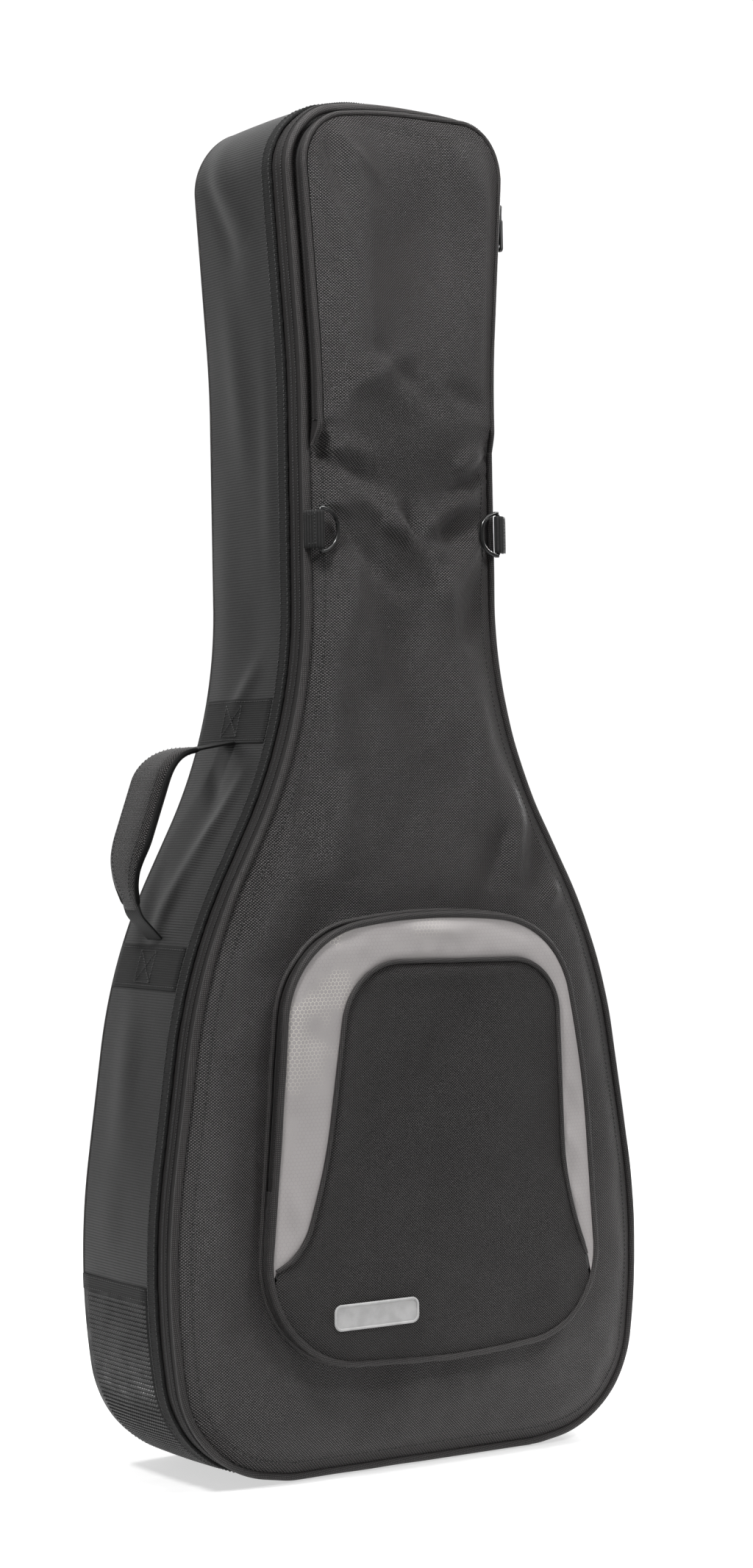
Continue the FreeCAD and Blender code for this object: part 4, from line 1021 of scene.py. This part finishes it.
# ---------------------------------------------------------------- lower pocket
def base_y(s):
    spots = POCKET.place(s)
    return front_height(spots[:, 0], spots[:, 1]) - 0.9


pocket_steps = POCKET.steps(3.0)
base_line_y = base_y(pocket_steps)
base_cord = sweep("pocket_base_cord", POCKET, circle(1.6, 0.0, 2.2, 10), cord_nylon,
                  shape=lambda s, out, y, p: (out, y + base_line_y[:, None]))
ride("cover", base_cord, slot="piping_nylon", replaces=["pocket_base_piping"])

POCKET_SPLIT = -94.3
POCKET_REAR_Y, POCKET_FRONT_Y = -88.0, -101.6
fold_right, fold_left = POCKET.near(160, FOLD_Z), POCKET.near(-146, 228)
flap_left = POCKET.near(-146, FOLD_Z)
flap_span = (fold_right, flap_left)
zip_side("pocket", "rear", "cover", POCKET, -0.9, POCKET_SPLIT, POCKET_REAR_Y, (fold_right, fold_left),
         flap_span)
zip_side("pocket", "front", "pocket_flap", POCKET, -0.9, POCKET_SPLIT, POCKET_FRONT_Y, flap_span, flap_span)
tail_profile = band(POCKET_SPLIT - 0.15, POCKET_FRONT_Y, -0.9, POCKET_SPLIT, -1)
tape_tail = sweep("pocket_zip_tape_tail", POCKET, tail_profile, tape_cloth, (flap_left + 0.3, fold_left))
ride("cover", tape_tail, slot="zip_tape")

wall_span = (POCKET.near(-146, 232), fold_right + POCKET.length)
wall_profile = [(0.1 + 1.0 * math.sin(math.pi * k / 8), POCKET_REAR_Y - k * 13.6 / 8) for k in range(9)]
wall = sweep("pocket_side_wall", POCKET, wall_profile + [(-1.6, POCKET_FRONT_Y), (-1.6, POCKET_REAR_Y)],
             ballistic_fine, wall_span,
             shape=lambda s, out, y, p: (out + np.where(out > -1, 0.4 * field(s / 18, y / 6, 31), 0), y))
ride("cover", wall, slot="gusset_nylon", replaces=["pocket_wall"])

pocket_cord = sweep("pocket_piping_cord", POCKET, circle(-0.5, -103.2, 2.7, 14), cord_nylon, step=2.5,
                    shape=wander(0.2, 6, 50, 7))
cross(pocket_cord, POCKET_FOLD, "piping_nylon", ["pocket_piping_upper", "pocket_piping_lower"])

POCKET_FOLDS = [
    (128, 300, 152, 262, 7, -1.4), (126, 270, 150, 232, 6, 1.4), (124, 250, 152, 205, 7, -1.2),
    (118, 232, 148, 190, 6, 1.2), (100, 320, 40, 230, 24, 1.6), (60, 380, -60, 260, 30, -1.2),
    (-90, 300, -60, 200, 20, 1.2), (-120, 150, -60, 110, 16, 1.2), (70, 110, 130, 130, 14, -1.0),
    (-80, 395, 100, 395, 8, 1.0), (-125, 300, -118, 400, 6, 1.1), (-110, 420, -60, 436, 7, -1.1),
    (-20, 436, 40, 426, 7, 1.0), (60, 440, 110, 420, 7, -1.2), (112, 436, 126, 400, 6, 1.4),
    (120, 430, 142, 380, 5, -1.2), (136, 380, 142, 290, 5, 1.0), (-132, 240, -122, 190, 6, 1.2),
]
LABEL_X, LABEL_Z = -56, 130


def face_height(x, z):
    spots = np.stack([x, z], -1)
    d, arch = distance(spots, POCKET_LINE), distance(spots, ARCH_LINE)
    y = -104.0 - 4.2 * (1 - np.exp(-np.clip(d - 3, 0, None) / 13))
    y += 1.3 * bell(arch, 4.5)
    loose = smooth(d, 2, 14) * (1 - 0.85 * bell((x - LABEL_X) / 52, 1) * bell((z - LABEL_Z) / 20, 1))
    y -= loose * 1.7 * creases(x, z, POCKET_FOLDS) * smooth(arch, 0, 7)
    uneven = 1.1 * field(x / 34, z / 40, 41) + 0.35 * field(x / 10, z / 12, 42)
    return y - loose * smooth(arch, 0, 9) * uneven


def pocket_loop(first, last, inset, tail):
    """The stretch of the pocket's outline between two places, closed by another line."""
    s = POCKET.steps(3.0, (first, last))
    spots, out = POCKET.at(s)
    return np.vstack([spots - out * inset, tail])


arch_right, arch_left = POCKET.near(164, 141), POCKET.near(-152, 165)
arch_spots, arch_out = ARCH.at(ARCH.steps(3.0, (2, ARCH.length - 2)))
centre_loop = pocket_loop(arch_left + 5, arch_right - 5 + POCKET.length, 2.9, arch_spots - arch_out * 1.2)
centre_panel = panel("pocket_centre", centre_loop, face_height, ballistic_fine, 3.2, 1.0)
cross(centre_panel, POCKET_FOLD, "ballistic_nylon", ["centre_panel", "pocket_face_lower"], 0.7)
grey_loop = pocket_loop(arch_right, arch_left, 2.9, (arch_spots + arch_out * 1.2)[::-1])
grey_panel = panel("pocket_arch", grey_loop, face_height, grey_ripstop, 2.6, 1.0)
cross(grey_panel, POCKET_FOLD, "grey_ripstop", ["arch_panel"], 0.7)
arch_s = ARCH.steps(2.5, (0, ARCH.length))
arch_at = ARCH.place(arch_s)
arch_y = face_height(arch_at[:, 0], arch_at[:, 1]) - 0.8
arch_y += 1.5 * (1 - smooth(np.minimum(arch_s, ARCH.length - arch_s), 0, 14))
arch_cord = sweep("arch_piping_cord", ARCH, circle(0, 0.0, 1.9, 12), cord_nylon, (0, ARCH.length), 2.5,
                  shape=lambda s, out, y, p: (out, y + arch_y[:, None]))
cross(arch_cord, POCKET_FOLD, "piping_nylon", ["arch_piping_upper", "arch_piping_lower"])

# ---------------------------------------------------------------- label: a plain satin-stitched bar
def label_height(x, z):
    return -109.3 + 0.004 * np.abs(x - LABEL_X)


label_line = Outline([(-95, 120, 6), (-17, 120, 6), (-17, 140, 6), (-95, 140, 6)])
label = panel("pocket_label_patch", label_line.offset(0.6, 1.2), label_height, label_cloth, 1.8, 1.6)
ride("cover", label, slot="label_thread", replaces=["pocket_label"])
edge_s = label_line.steps(1.2)
edge_at = label_line.place(edge_s)
edge_y = label_height(edge_at[:, 0], edge_at[:, 1]) - 0.1
label_edge = sweep("pocket_label_border", label_line, circle(-0.7, 0.0, 1.1, 8), label_cloth, step=1.2,
                   shape=lambda s, out, y, p: (out, y + edge_y[:, None]))
ride("cover", label_edge, slot="label_thread")

# ---------------------------------------------------------------- D ring tabs
def ring_tab(name, bar_x, way):
    """Webbing that comes out of the seam and goes round the ring's bar and back.
    way is its outward direction."""
    bar_y, wrap = -86.0, 2.7
    turns = np.radians(np.linspace(100, -75, 12))
    loop = [(bar_x - way * wrap * math.cos(a), bar_y - wrap * math.sin(a)) for a in turns]
    line = [(bar_x + way * 11.0, -79.6), (bar_x + way * 7.0, -84.4), (bar_x + way * 3.4, -87.8)] + loop
    line += [(bar_x + way * 5.0, -82.2), (bar_x + way * 10.5, -77.8)]
    points = np.array([(x, y, 749.5) for x, y in line])
    tab = strap(name, points, (0, 0, 1), 30.0, 1.5, webbing_cross, sides=16)
    ride("cover", tab, slot="webbing")
    rows = []
    for z in (738.0, 761.0):
        line = [(bar_x + way * 9.4, -82.4, z), (bar_x + way * 4.6, -87.6, z)]
        rows.append(stitch_path(name, line, (way * 0.55, -0.84, 0), thread, 2.6, 2.1))
    line = [(bar_x + way * 5.6, -86.7, 737), (bar_x + way * 5.6, -86.7, 762)]
    rows.append(stitch_path(name, line, (way * 0.55, -0.84, 0), thread, 2.6, 2.1))
    ride("cover", join(f"{name}_stitch", rows))
    return tab


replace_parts(ring_tab("ring_tab_left", -81.5, -1), "ring_tabs")
ring_tab("ring_tab_right", 89.0, 1)

# ---------------------------------------------------------------- side handle
OUTWARD = np.array([-0.908, 0.0, 0.418])
HINGE = np.array([-153.15, 20.0, 508.18])
HANDLE_TOP, HANDLE_HIGH = (-105.0, 583.6, 0), (-173.0, 572.5, 38)
HANDLE_LOW, HANDLE_TURN, HANDLE_END = (-206.5, 480.0, 52), (-197.0, 446.0, 18), (-176.5, 424.5, 0)

for name, low, high, at in (("handle_patch_upper", 583, 618, 0), ("handle_patch_lower", 390, 425, 1)):
    s0, s1 = BAG.near(-100 if at == 0 else -190, high), BAG.near(-110 if at == 0 else -200, low)
    patch = sweep(name, BAG, slab(1.0, 2.5, BINDING_REAR_Y + 0.5, 70.6, 0.5, 20), webbing_cloth, (s0, s1),
                  2.0, shape=gusset_shape)
    ride("shell", patch, slot="gusset_nylon", replaces=["handle_anchors"] if at == 0 else ())
    rows = []
    for s in (s0 + 2.5, s1 - 2.5):
        ys = np.linspace(-34, 69, 60)
        spot, out = BAG.at(s)
        outs, _ = gusset_shape(np.full((60, 1), s), np.full((60, 1), 2.5), ys[:, None], spot)
        off = outs[:, 0] + 0.1
        line = np.stack([spot[0] + out[0] * off, ys, spot[1] + out[1] * off], -1)
        rows.append(stitch_path(name, line, (out[0], 0, out[1]), thread))
    middle, out = BAG.at((s0 + s1) / 2)
    outs, _ = gusset_shape(np.full((1, 1), (s0 + s1) / 2), np.full((1, 1), 2.6), np.full((1, 1), 20.0),
                           middle)
    facing = np.array((out[0], 0, out[1]))
    centre = np.array((middle[0], 20, middle[1])) + facing * (outs[0, 0] + 0.35)
    rows.append(box_stitch(name, centre, (-out[1], 0, out[0]), (0, 1, 0), 26, 24, facing, thread))
    ride("shell", join(f"{name}_stitch", rows))

handle_line = bend_line([HANDLE_TOP, HANDLE_HIGH, HANDLE_LOW, HANDLE_TURN, HANDLE_END], 20.0)
handle_web = strap("handle_strap", handle_line, (0, 1, 0), 26.0, 2.4, webbing_cloth, sides=24)
handle_fold = ("shell", "handle", tuple((HINGE - OUTWARD * 5) * MM), tuple((HINGE + OUTWARD * 5) * MM))
cross(handle_web, handle_fold, "webbing", ["handle_webbing"])

run = np.concatenate([[0], np.cumsum(np.linalg.norm(np.diff(handle_line, axis=0), axis=1))])
kept = (run > 30) & (run < run[-1] - 30)
grip_line = handle_line[kept]


def grip_swell(t):
    return float(smooth(t, -0.04, 0.34) * (1 - smooth(t, 0.62, 1.02)))


def grip_width(t):
    return 23 + 30 * grip_swell(t)


def grip_thick(t):
    return 3.6 + 10.4 * grip_swell(t)


grip = strap("handle_grip_pad", grip_line, (0, 1, 0), grip_width, grip_thick, ballistic_fine, power=3.2,
             sides=36, ends=5.0)
ride("handle", grip, slot="ballistic_nylon", replaces=["handle_grip"], padded=0.8)
grip_run = np.concatenate([[0], np.cumsum(np.linalg.norm(np.diff(grip_line, axis=0), axis=1))])
grip_run /= grip_run[-1]
grip_side = np.gradient(grip_line, axis=0)
grip_side /= np.linalg.norm(grip_side, axis=1, keepdims=True)
grip_face = np.cross(np.array([0.0, 1.0, 0.0]), grip_side)
for name, way in (("front", -1), ("rear", 1)):
    edge = grip_line + np.array([0, way, 0]) * np.array([grip_width(t) / 2 - 0.6 for t in grip_run])[:, None]
    cord = strap(f"handle_grip_binding_{name}", edge[2:-2], (0, 1, 0), 3.6, 4.4, binding_cloth, power=2.4,
                 sides=12, ends=6.0)
    ride("handle", cord, slot="webbing")
    for side in (-1, 1):
        reach = np.array([grip_width(t) / 2 - 7 for t in grip_run])[:, None]
        inner = grip_line + np.array([0, way, 0]) * reach
        lift = np.array([grip_thick(t) * 0.45 for t in grip_run])[:, None]
        line = (inner + side * grip_face * lift)[4:-4]
        face = grip_face[len(grip_face) // 2] * side
        ups = f"handle_grip_stitch_{name}_{'out' if side > 0 else 'in'}"
        ride("handle", stitch_path(ups, line, face, thread, 3.4, 2.6, 0.28))

# ---------------------------------------------------------------- hinge cloth between shell and cover
hinge_span = (BAG.near(HINGE_X, HINGE_LOW - 4), BAG.near(HINGE_X, HINGE_HIGH + 4))
hinge_profile = [(0.9 + 0.5 * bell(y - SPLIT_Y, 3.0), y) for y in np.linspace(-72.6, -50.4, 24)]
hinge_cloth = sweep("cover_hinge_cloth", BAG, hinge_profile + [(-0.4, -50.4), (-0.4, -72.6)], binding_cloth,
                    hinge_span)
cover_fold = ("shell", "cover", (0.2225, -0.0565, 0.175), (0.2225, -0.0655, 0.175))
cross(hinge_cloth, cover_fold, "webbing", ["hinge_strip_rear", "hinge_strip_front"])
for body, name, y in (("shell", "cover_hinge_stitch_rear", -52.4),
                      ("cover", "cover_hinge_stitch_front", -70.6)):
    ride(body, stitch_line(name, *along_outline(BAG, 1.0, y, 3.4, hinge_span), thread))


# ---------------------------------------------------------------- back
def back_height(x, z):
    spots = np.stack([x, z], -1)
    d = distance(spots, BAG_LINE)
    y = 71.1 + 0.5 * field(x / 60, z / 60, 51) * smooth(d, 3, 30)
    channel = np.abs(z - 560) + 1000.0 * (d < 14)
    y += 1.6 * (1 - np.exp(-np.clip(d - 3, 0, None) / 10))
    y -= 1.3 * bell(d - 26, 2.4)
    return y - 1.3 * bell(channel, 2.4)


back_panel = panel("back_panel", BAG.offset(2.2), back_height, side_nylon, 4.5, 1.4)
ride("shell", back_panel, slot="gusset_nylon", replaces=["back_fabric"], padded=0.7)
seam = BAG.offset(26, 3.4)
seam_y = back_height(seam[:, 0], seam[:, 1]) + 1.5
seam_points = np.stack([seam[:, 0], seam_y, seam[:, 1]], -1)
ride("shell", stitch_path("back_quilt_stitch", seam_points, (0, 1, 0), thread, 3.8, closed=True))


def back_strap(name, points, side, width, thick, material, body="shell", slot="webbing", replaces=(), **more):
    piece = strap(name, points, side, width, thick, material, **more)
    ride(body, piece, slot=slot, replaces=replaces)
    return piece


back_strap("strap_anchor_band", straight((-84, 75.2, 918), (84, 75.2, 918)), (0, 0, 1), 26.0, 2.0,
           webbing_cloth, ends=1.2, replaces=["strap_anchor"])
band_rows = [stitch_path("band", [(-82, 76.3, z), (82, 76.3, z)], (0, 1, 0), thread) for z in (907.5, 928.5)]
ride("shell", join("strap_anchor_stitch", band_rows))
STRAP_X = 42.0
for name, way, body in (("left", -1, "strap_left"), ("right", 1, "strap_right")):
    x = STRAP_X * way
    back_strap(f"strap_tail_{name}", straight((x, 75.2, 100), (x, 75.2, 404)), (1, 0, 0), 25.0, 1.7,
               webbing_cloth, ends=1.2, replaces=["strap_tails"] if way < 0 else ())
    back_strap(f"strap_foot_{name}", straight((x, 75.6, 82), (x, 75.6, 112)), (1, 0, 0), 44.0, 2.4,
               side_nylon, slot="gusset_nylon", ends=3.0)
    ride("shell",
         box_stitch(f"strap_foot_stitch_{name}", (x, 76.9, 97), (0, 0, 1), (1, 0, 0), 22, 36, (0, 1, 0),
                             thread))
    pad_line = straight((x, 82.8, 414), (x, 82.8, 883), 5.0)
    pad = strap(f"strap_pad_cloth_{name}", pad_line, (1, 0, 0), 53.0,
                lambda t: 8.6 + 1.3 * math.sin(math.pi * t) ** 0.5, air_mesh, power=3.6, sides=40, ends=9.0)
    ride(body, pad, slot="strap_mesh", replaces=[f"strap_pad_{name}"], padded=0.7)
    for edge, side in (("in", -way), ("out", way)):
        line = straight((x + side * 26.6, 82.8, 420), (x + side * 26.6, 82.8, 877), 4.0)
        bind = strap(f"strap_pad_binding_{name}_{edge}", line, (1, 0, 0), 3.4, 6.4, binding_cloth, power=2.4,
                     sides=12, ends=3.0)
        ride(body, bind, slot="webbing")
        row = straight((x + side * 22, 87.5, 424), (x + side * 22, 87.5, 873), 4.0)
        ride(body, stitch_path(f"strap_pad_stitch_{name}_{edge}", row, (0, 1, 0), thread))
    hinge_line = [(x, 76.6, 903), (x, 78.0, 897), (x, 80.6, 892), (x, 82.8, 886), (x, 84.2, 879),
                  (x, 86.4, 872), (x, 88.0, 864), (x, 88.3, 850)]
    hinge_web = strap(f"strap_top_web_{name}", hinge_line, (1, 0, 0), 32.0, 1.7, webbing_cloth, sides=16,
                      ends=1.0)
    cross(hinge_web, ("shell", body, (x * MM, 0.083, 0.896), (x * MM, 0.083, 0.882)), "webbing")
    ride(body,
         box_stitch(f"strap_top_stitch_{name}", (x, 89.0, 858), (0, 0, 1), (1, 0, 0), 12, 25, (0, 1, 0),
                    thread))
    lock_line = [(x, 84.5, 426), (x, 83.0, 417), (x, 80.6, 410), (x, 79.8, 404), (x, 79.8, 399)]
    back_strap(f"strap_lock_web_{name}", lock_line, (1, 0, 0), 25.0, 1.6, webbing_cloth, body=body, ends=1.0)

loop_line = [(0, 74.9, 1058), (0, 75.0, 1050), (0, 77.5, 1046), (0, 83.0, 1043), (0, 86.6, 1037),
             (0, 87.4, 1031),
             (0, 86.6, 1025), (0, 83.0, 1019), (0, 77.5, 1016), (0, 75.0, 1012), (0, 74.9, 1005)]
back_strap("hang_loop_web", loop_line, (1, 0, 0), 25.0, 1.8, webbing_cloth, replaces=["hang_loop"])
for name, z in (("top", 1053.5), ("bottom", 1008.5)):
    ride("shell",
         box_stitch(f"hang_loop_stitch_{name}", (0, 76.1, z), (0, 0, 1), (1, 0, 0), 6, 19, (0, 1, 0), thread))

# ---------------------------------------------------------------- foam and lining
foam_loop = BAG.offset(5.5)
shell_foam = sweep("shell_wall_foam", BAG, slab(-6.2, -0.9, -60.5, 65.8, 0.6, 6), foam_material, step=6.0)
ride("shell", shell_foam, slot="foam", replaces=["gusset_foam"], padded=1.0)
back_pad = panel("back_foam_pad", foam_loop, lambda x, z: 66.3 + 0 * x, foam_material, 12.0, rear=70.8)
ride("shell", back_pad, slot="foam", replaces=["back_foam"], padded=1.0)


def pad_height(x, z):
    return np.maximum(front_height(x, z), np.where(z > 790, under_height(x, z), -200)) + 1.5


front_pad = panel("front_foam_pad", foam_loop, pad_height, foam_material, 7.0, rear=-71.4)
ride("cover", front_pad, slot="foam", replaces=["front_foam"], padded=1.0)
rim_foam = sweep("cover_rim_foam", BAG, slab(-6.2, -1.2, -71.2, -61.5, 0.5, 2), foam_material, step=6.0)
ride("cover", rim_foam, slot="foam", padded=1.0)
head_loop = BAG.offset(10.5)
head_loop = head_loop[head_loop[:, 1] > 848]


def head_pad_height(x, z):
    return head_height(x, z, distance(np.stack([x, z], -1), BAG_LINE)) + 1.8


head_pad = panel("head_foam_pad", head_loop, head_pad_height, foam_material, 8.0, 1.8)
ride("head_flap", head_pad, slot="foam", replaces=["head_foam"], padded=1.0)
pocket_pad = panel("pocket_foam_pad", POCKET.offset(5.0), lambda x, z: face_height(x, z) + 1.6,
                   foam_material, 7.0, 2.6)
cross(pocket_pad, POCKET_FOLD, "foam", ["pocket_foam_upper", "pocket_foam_lower"], 1.0)

wall_lining = sweep("shell_lining_wall", BAG, slab(-7.5, -6.4, -60.4, 65.6, 0.3, 8), fleece, step=5.0,
                    shape=lambda s, out, y, p: (out - 0.5 - 0.5 * field(s / 40, y / 30, 61), y))
ride("shell", wall_lining, slot="lining", replaces=["lining"])


def lining_height(depth, rise, run, seed):
    """A lining that lies a little unevenly at one depth."""
    return lambda x, z: depth + rise * field(x / 50, z / run, seed)


back_lining = panel("shell_lining_back", BAG.offset(7.6), lining_height(64.6, 0.6, 50, 62), fleece, 7.0, 0.9)
ride("shell", back_lining, slot="lining")
BAG.offset(7.6)
cover_lining = panel("cover_lining_face", BAG.offset(6.8), lining_height(-71.0, 0.35, 60, 63), fleece, 7.0,
                     rear=-69.8)
ride("cover", cover_lining, slot="lining", replaces=["front_lining"])
BAG.offset(6.8)
cover_rim = sweep("cover_lining_rim", BAG, slab(-7.4, -6.4, -70.4, -61.4, 0.3, 3), fleece, step=5.0)
ride("cover", cover_rim, slot="lining")


# ---------------------------------------------------------------- inside fittings
def block(name, loop, z0, z1, bevel, material):
    """A padded block: a loop of (x, y) points raised from z0 to z1 with rounded edges."""
    bm = bmesh.new()
    base = bm.faces.new([bm.verts.new((x * MM, y * MM, z0 * MM)) for x, y in loop])
    raised = bmesh.ops.extrude_face_region(bm, geom=[base])
    tops = [v for v in raised["geom"] if isinstance(v, bmesh.types.BMVert)]
    bmesh.ops.translate(bm, verts=tops, vec=(0, 0, (z1 - z0) * MM))
    bmesh.ops.bevel(bm, geom=list(bm.edges), offset=bevel * MM, segments=4, profile=0.6, affect="EDGES")
    bmesh.ops.recalc_face_normals(bm, faces=bm.faces)
    layer = bm.loops.layers.uv.new("Cloth")
    for face in bm.faces:
        axis = max(range(3), key=lambda k: abs(face.normal[k]))
        for corner in face.loops:
            corner[layer].uv = [corner.vert.co[k] for k in range(3) if k != axis]
    mesh = bpy.data.meshes.new(name)
    bm.to_mesh(mesh)
    bm.free()
    mesh.shade_smooth()
    mesh.set_sharp_from_angle(angle=math.radians(50))
    mesh.materials.append(material)
    obj = bpy.data.objects.new(name, mesh)
    scene_objects.link(obj)
    return obj


scene_objects = bpy.context.scene.collection.objects
cradle_loop = [(-48, 65), (-48, 20.4), (-31, 20.4), (-31, 50), (31, 50), (31, 20.4), (48, 20.4), (48, 65)]
cradle = block("neck_cradle_pad", cradle_loop, 690.5, 747.5, 3.0, fleece)
ride("shell", cradle, slot="lining", replaces=["neck_cradle"], padded=0.9)
floor_pad = block("base_pad_cushion", [(-94, -54), (94, -54), (94, 54), (-94, 54)], 12.2, 23.6, 3.5, fleece)
ride("shell", floor_pad, slot="lining", replaces=["base_pad"], padded=0.9)
neck_web = strap("neck_strap_web", straight((-37.5, 18.9, 719), (37.5, 18.9, 719)), (0, 0, 1), 22.0, 1.6,
                 webbing_cloth, ends=1.0)
ride("neck_strap", neck_web, slot="webbing", replaces=["neck_strap"])

# ---------------------------------------------------------------- CAD pieces that stay
# rings, sliders, pullers and ladder locks keep their CAD shape and get a finish
FINISHES = {"d_ring": gunmetal, "slider": gunmetal, "puller": puller_rubber, "ladder_lock": black_plastic}
for node in frame["nodes"]:
    finish = next((material for word, material in FINISHES.items() if word in node), None)
    if finish:
        mesh = bpy.data.objects[node].data
        for index in range(max(1, len(mesh.materials))):
            if index < len(mesh.materials):
                mesh.materials[index] = finish
            else:
                mesh.materials.append(finish)

# ---------------------------------------------------------------- stage, lights and camera
scene = bpy.context.scene
scene.view_settings.view_transform = "Standard"

AZIMUTH = math.radians(-32.5)
TARGET = Vector((-0.01905, -0.06386, 0.5474))
BACK = Vector((math.sin(AZIMUTH), -math.cos(AZIMUTH), 0.0))
RIGHT = Vector((math.cos(AZIMUTH), math.sin(AZIMUTH), 0.0))
UP = Vector((0.0, 0.0, 1.0))


def aimed(obj, place, target, up=UP):
    """Puts an object at a place with its -Z towards a target."""
    back = (place - target).normalized()
    right = up.cross(back).normalized()
    turn = Matrix((right, back.cross(right), back)).transposed()
    obj.matrix_world = Matrix.Translation(place) @ turn.to_4x4()
    scene.collection.objects.link(obj)


def lamp(name, across, ahead, above, size, power):
    """An area lamp placed across, in front of and above the target, seen from the camera."""
    light = bpy.data.lights.new(name, "AREA")
    light.shape = "DISK"
    light.size = size
    light.energy = power
    obj = bpy.data.objects.new(name, light)
    aimed(obj, TARGET + RIGHT * across + BACK * ahead + UP * above, TARGET)


lamp("key_lamp", -0.7, 0.9, 1.7, 0.4, 42)
lamp("side_lamp", 1.5, 0.6, 1.25, 0.4, 20)
lamp("top_lamp", 0.2, 0.6, 2.3, 0.9, 14)
lamp("back_lamp", 0.9, -2.0, 1.2, 1.2, 60)

# the studio is bright behind the object and dim in front of it, so that the lamps shape the cloth
world = bpy.data.worlds.new("studio")
world.use_nodes = True
tree = world.node_tree
toward = tree.nodes.new("ShaderNodeVectorMath")
toward.operation = "DOT_PRODUCT"
tree.links.new(tree.nodes.new("ShaderNodeTexCoord").outputs["Generated"], toward.inputs[0])
toward.inputs[1].default_value = -BACK
bright = tree.nodes.new("ShaderNodeMapRange")
bright.interpolation_type = "SMOOTHSTEP"
tree.links.new(toward.outputs["Value"], bright.inputs[0])
for socket, value in zip(bright.inputs[1:5], (0.1, 0.75, 0.17, 1.04)):
    socket.default_value = value
tree.links.new(bright.outputs[0], tree.nodes["Background"].inputs[1])
tree.nodes["Background"].inputs[0].default_value = (1.0, 1.0, 1.0, 1.0)
scene.world = world

FLOOR_RADIUS = 1.5
white = plain("studio_white", 0.82, 0.8, 40.0, 0.00001, specular=0.1, spread=0.01)
glow = white.node_tree.nodes["Principled BSDF"].inputs
glow["Emission Color"].default_value = (1.0, 1.0, 1.0, 1.0)
glow["Emission Strength"].default_value = 0.6
middle = -BACK * 0.9
disc = [(0.0, 0.0)] + [(math.cos(a), math.sin(a)) for a in np.arange(96) * math.pi / 48]
disc = [((x * FLOOR_RADIUS + middle.x) / MM, (y * FLOOR_RADIUS + middle.y) / MM, -0.4) for x, y in disc]
disc_faces = [[0, k + 1, (k + 1) % 96 + 1] for k in range(96)]
make("studio_floor", disc, disc_faces, [disc[k][:2] for f in disc_faces for k in f], white,
              recalc=False)

CAMERA_RANGE = 2.6
ROLL = math.radians(1.006)
camera_data = bpy.data.cameras.new("camera")
camera_data.sensor_fit = "VERTICAL"
camera_data.sensor_height = 36.0
camera_data.lens = 74.1
camera_data.clip_end = 30.0
camera = bpy.data.objects.new("camera", camera_data)
aimed(camera, TARGET + BACK * CAMERA_RANGE, TARGET, UP * math.cos(ROLL) + RIGHT * math.sin(ROLL))
scene.camera = camera
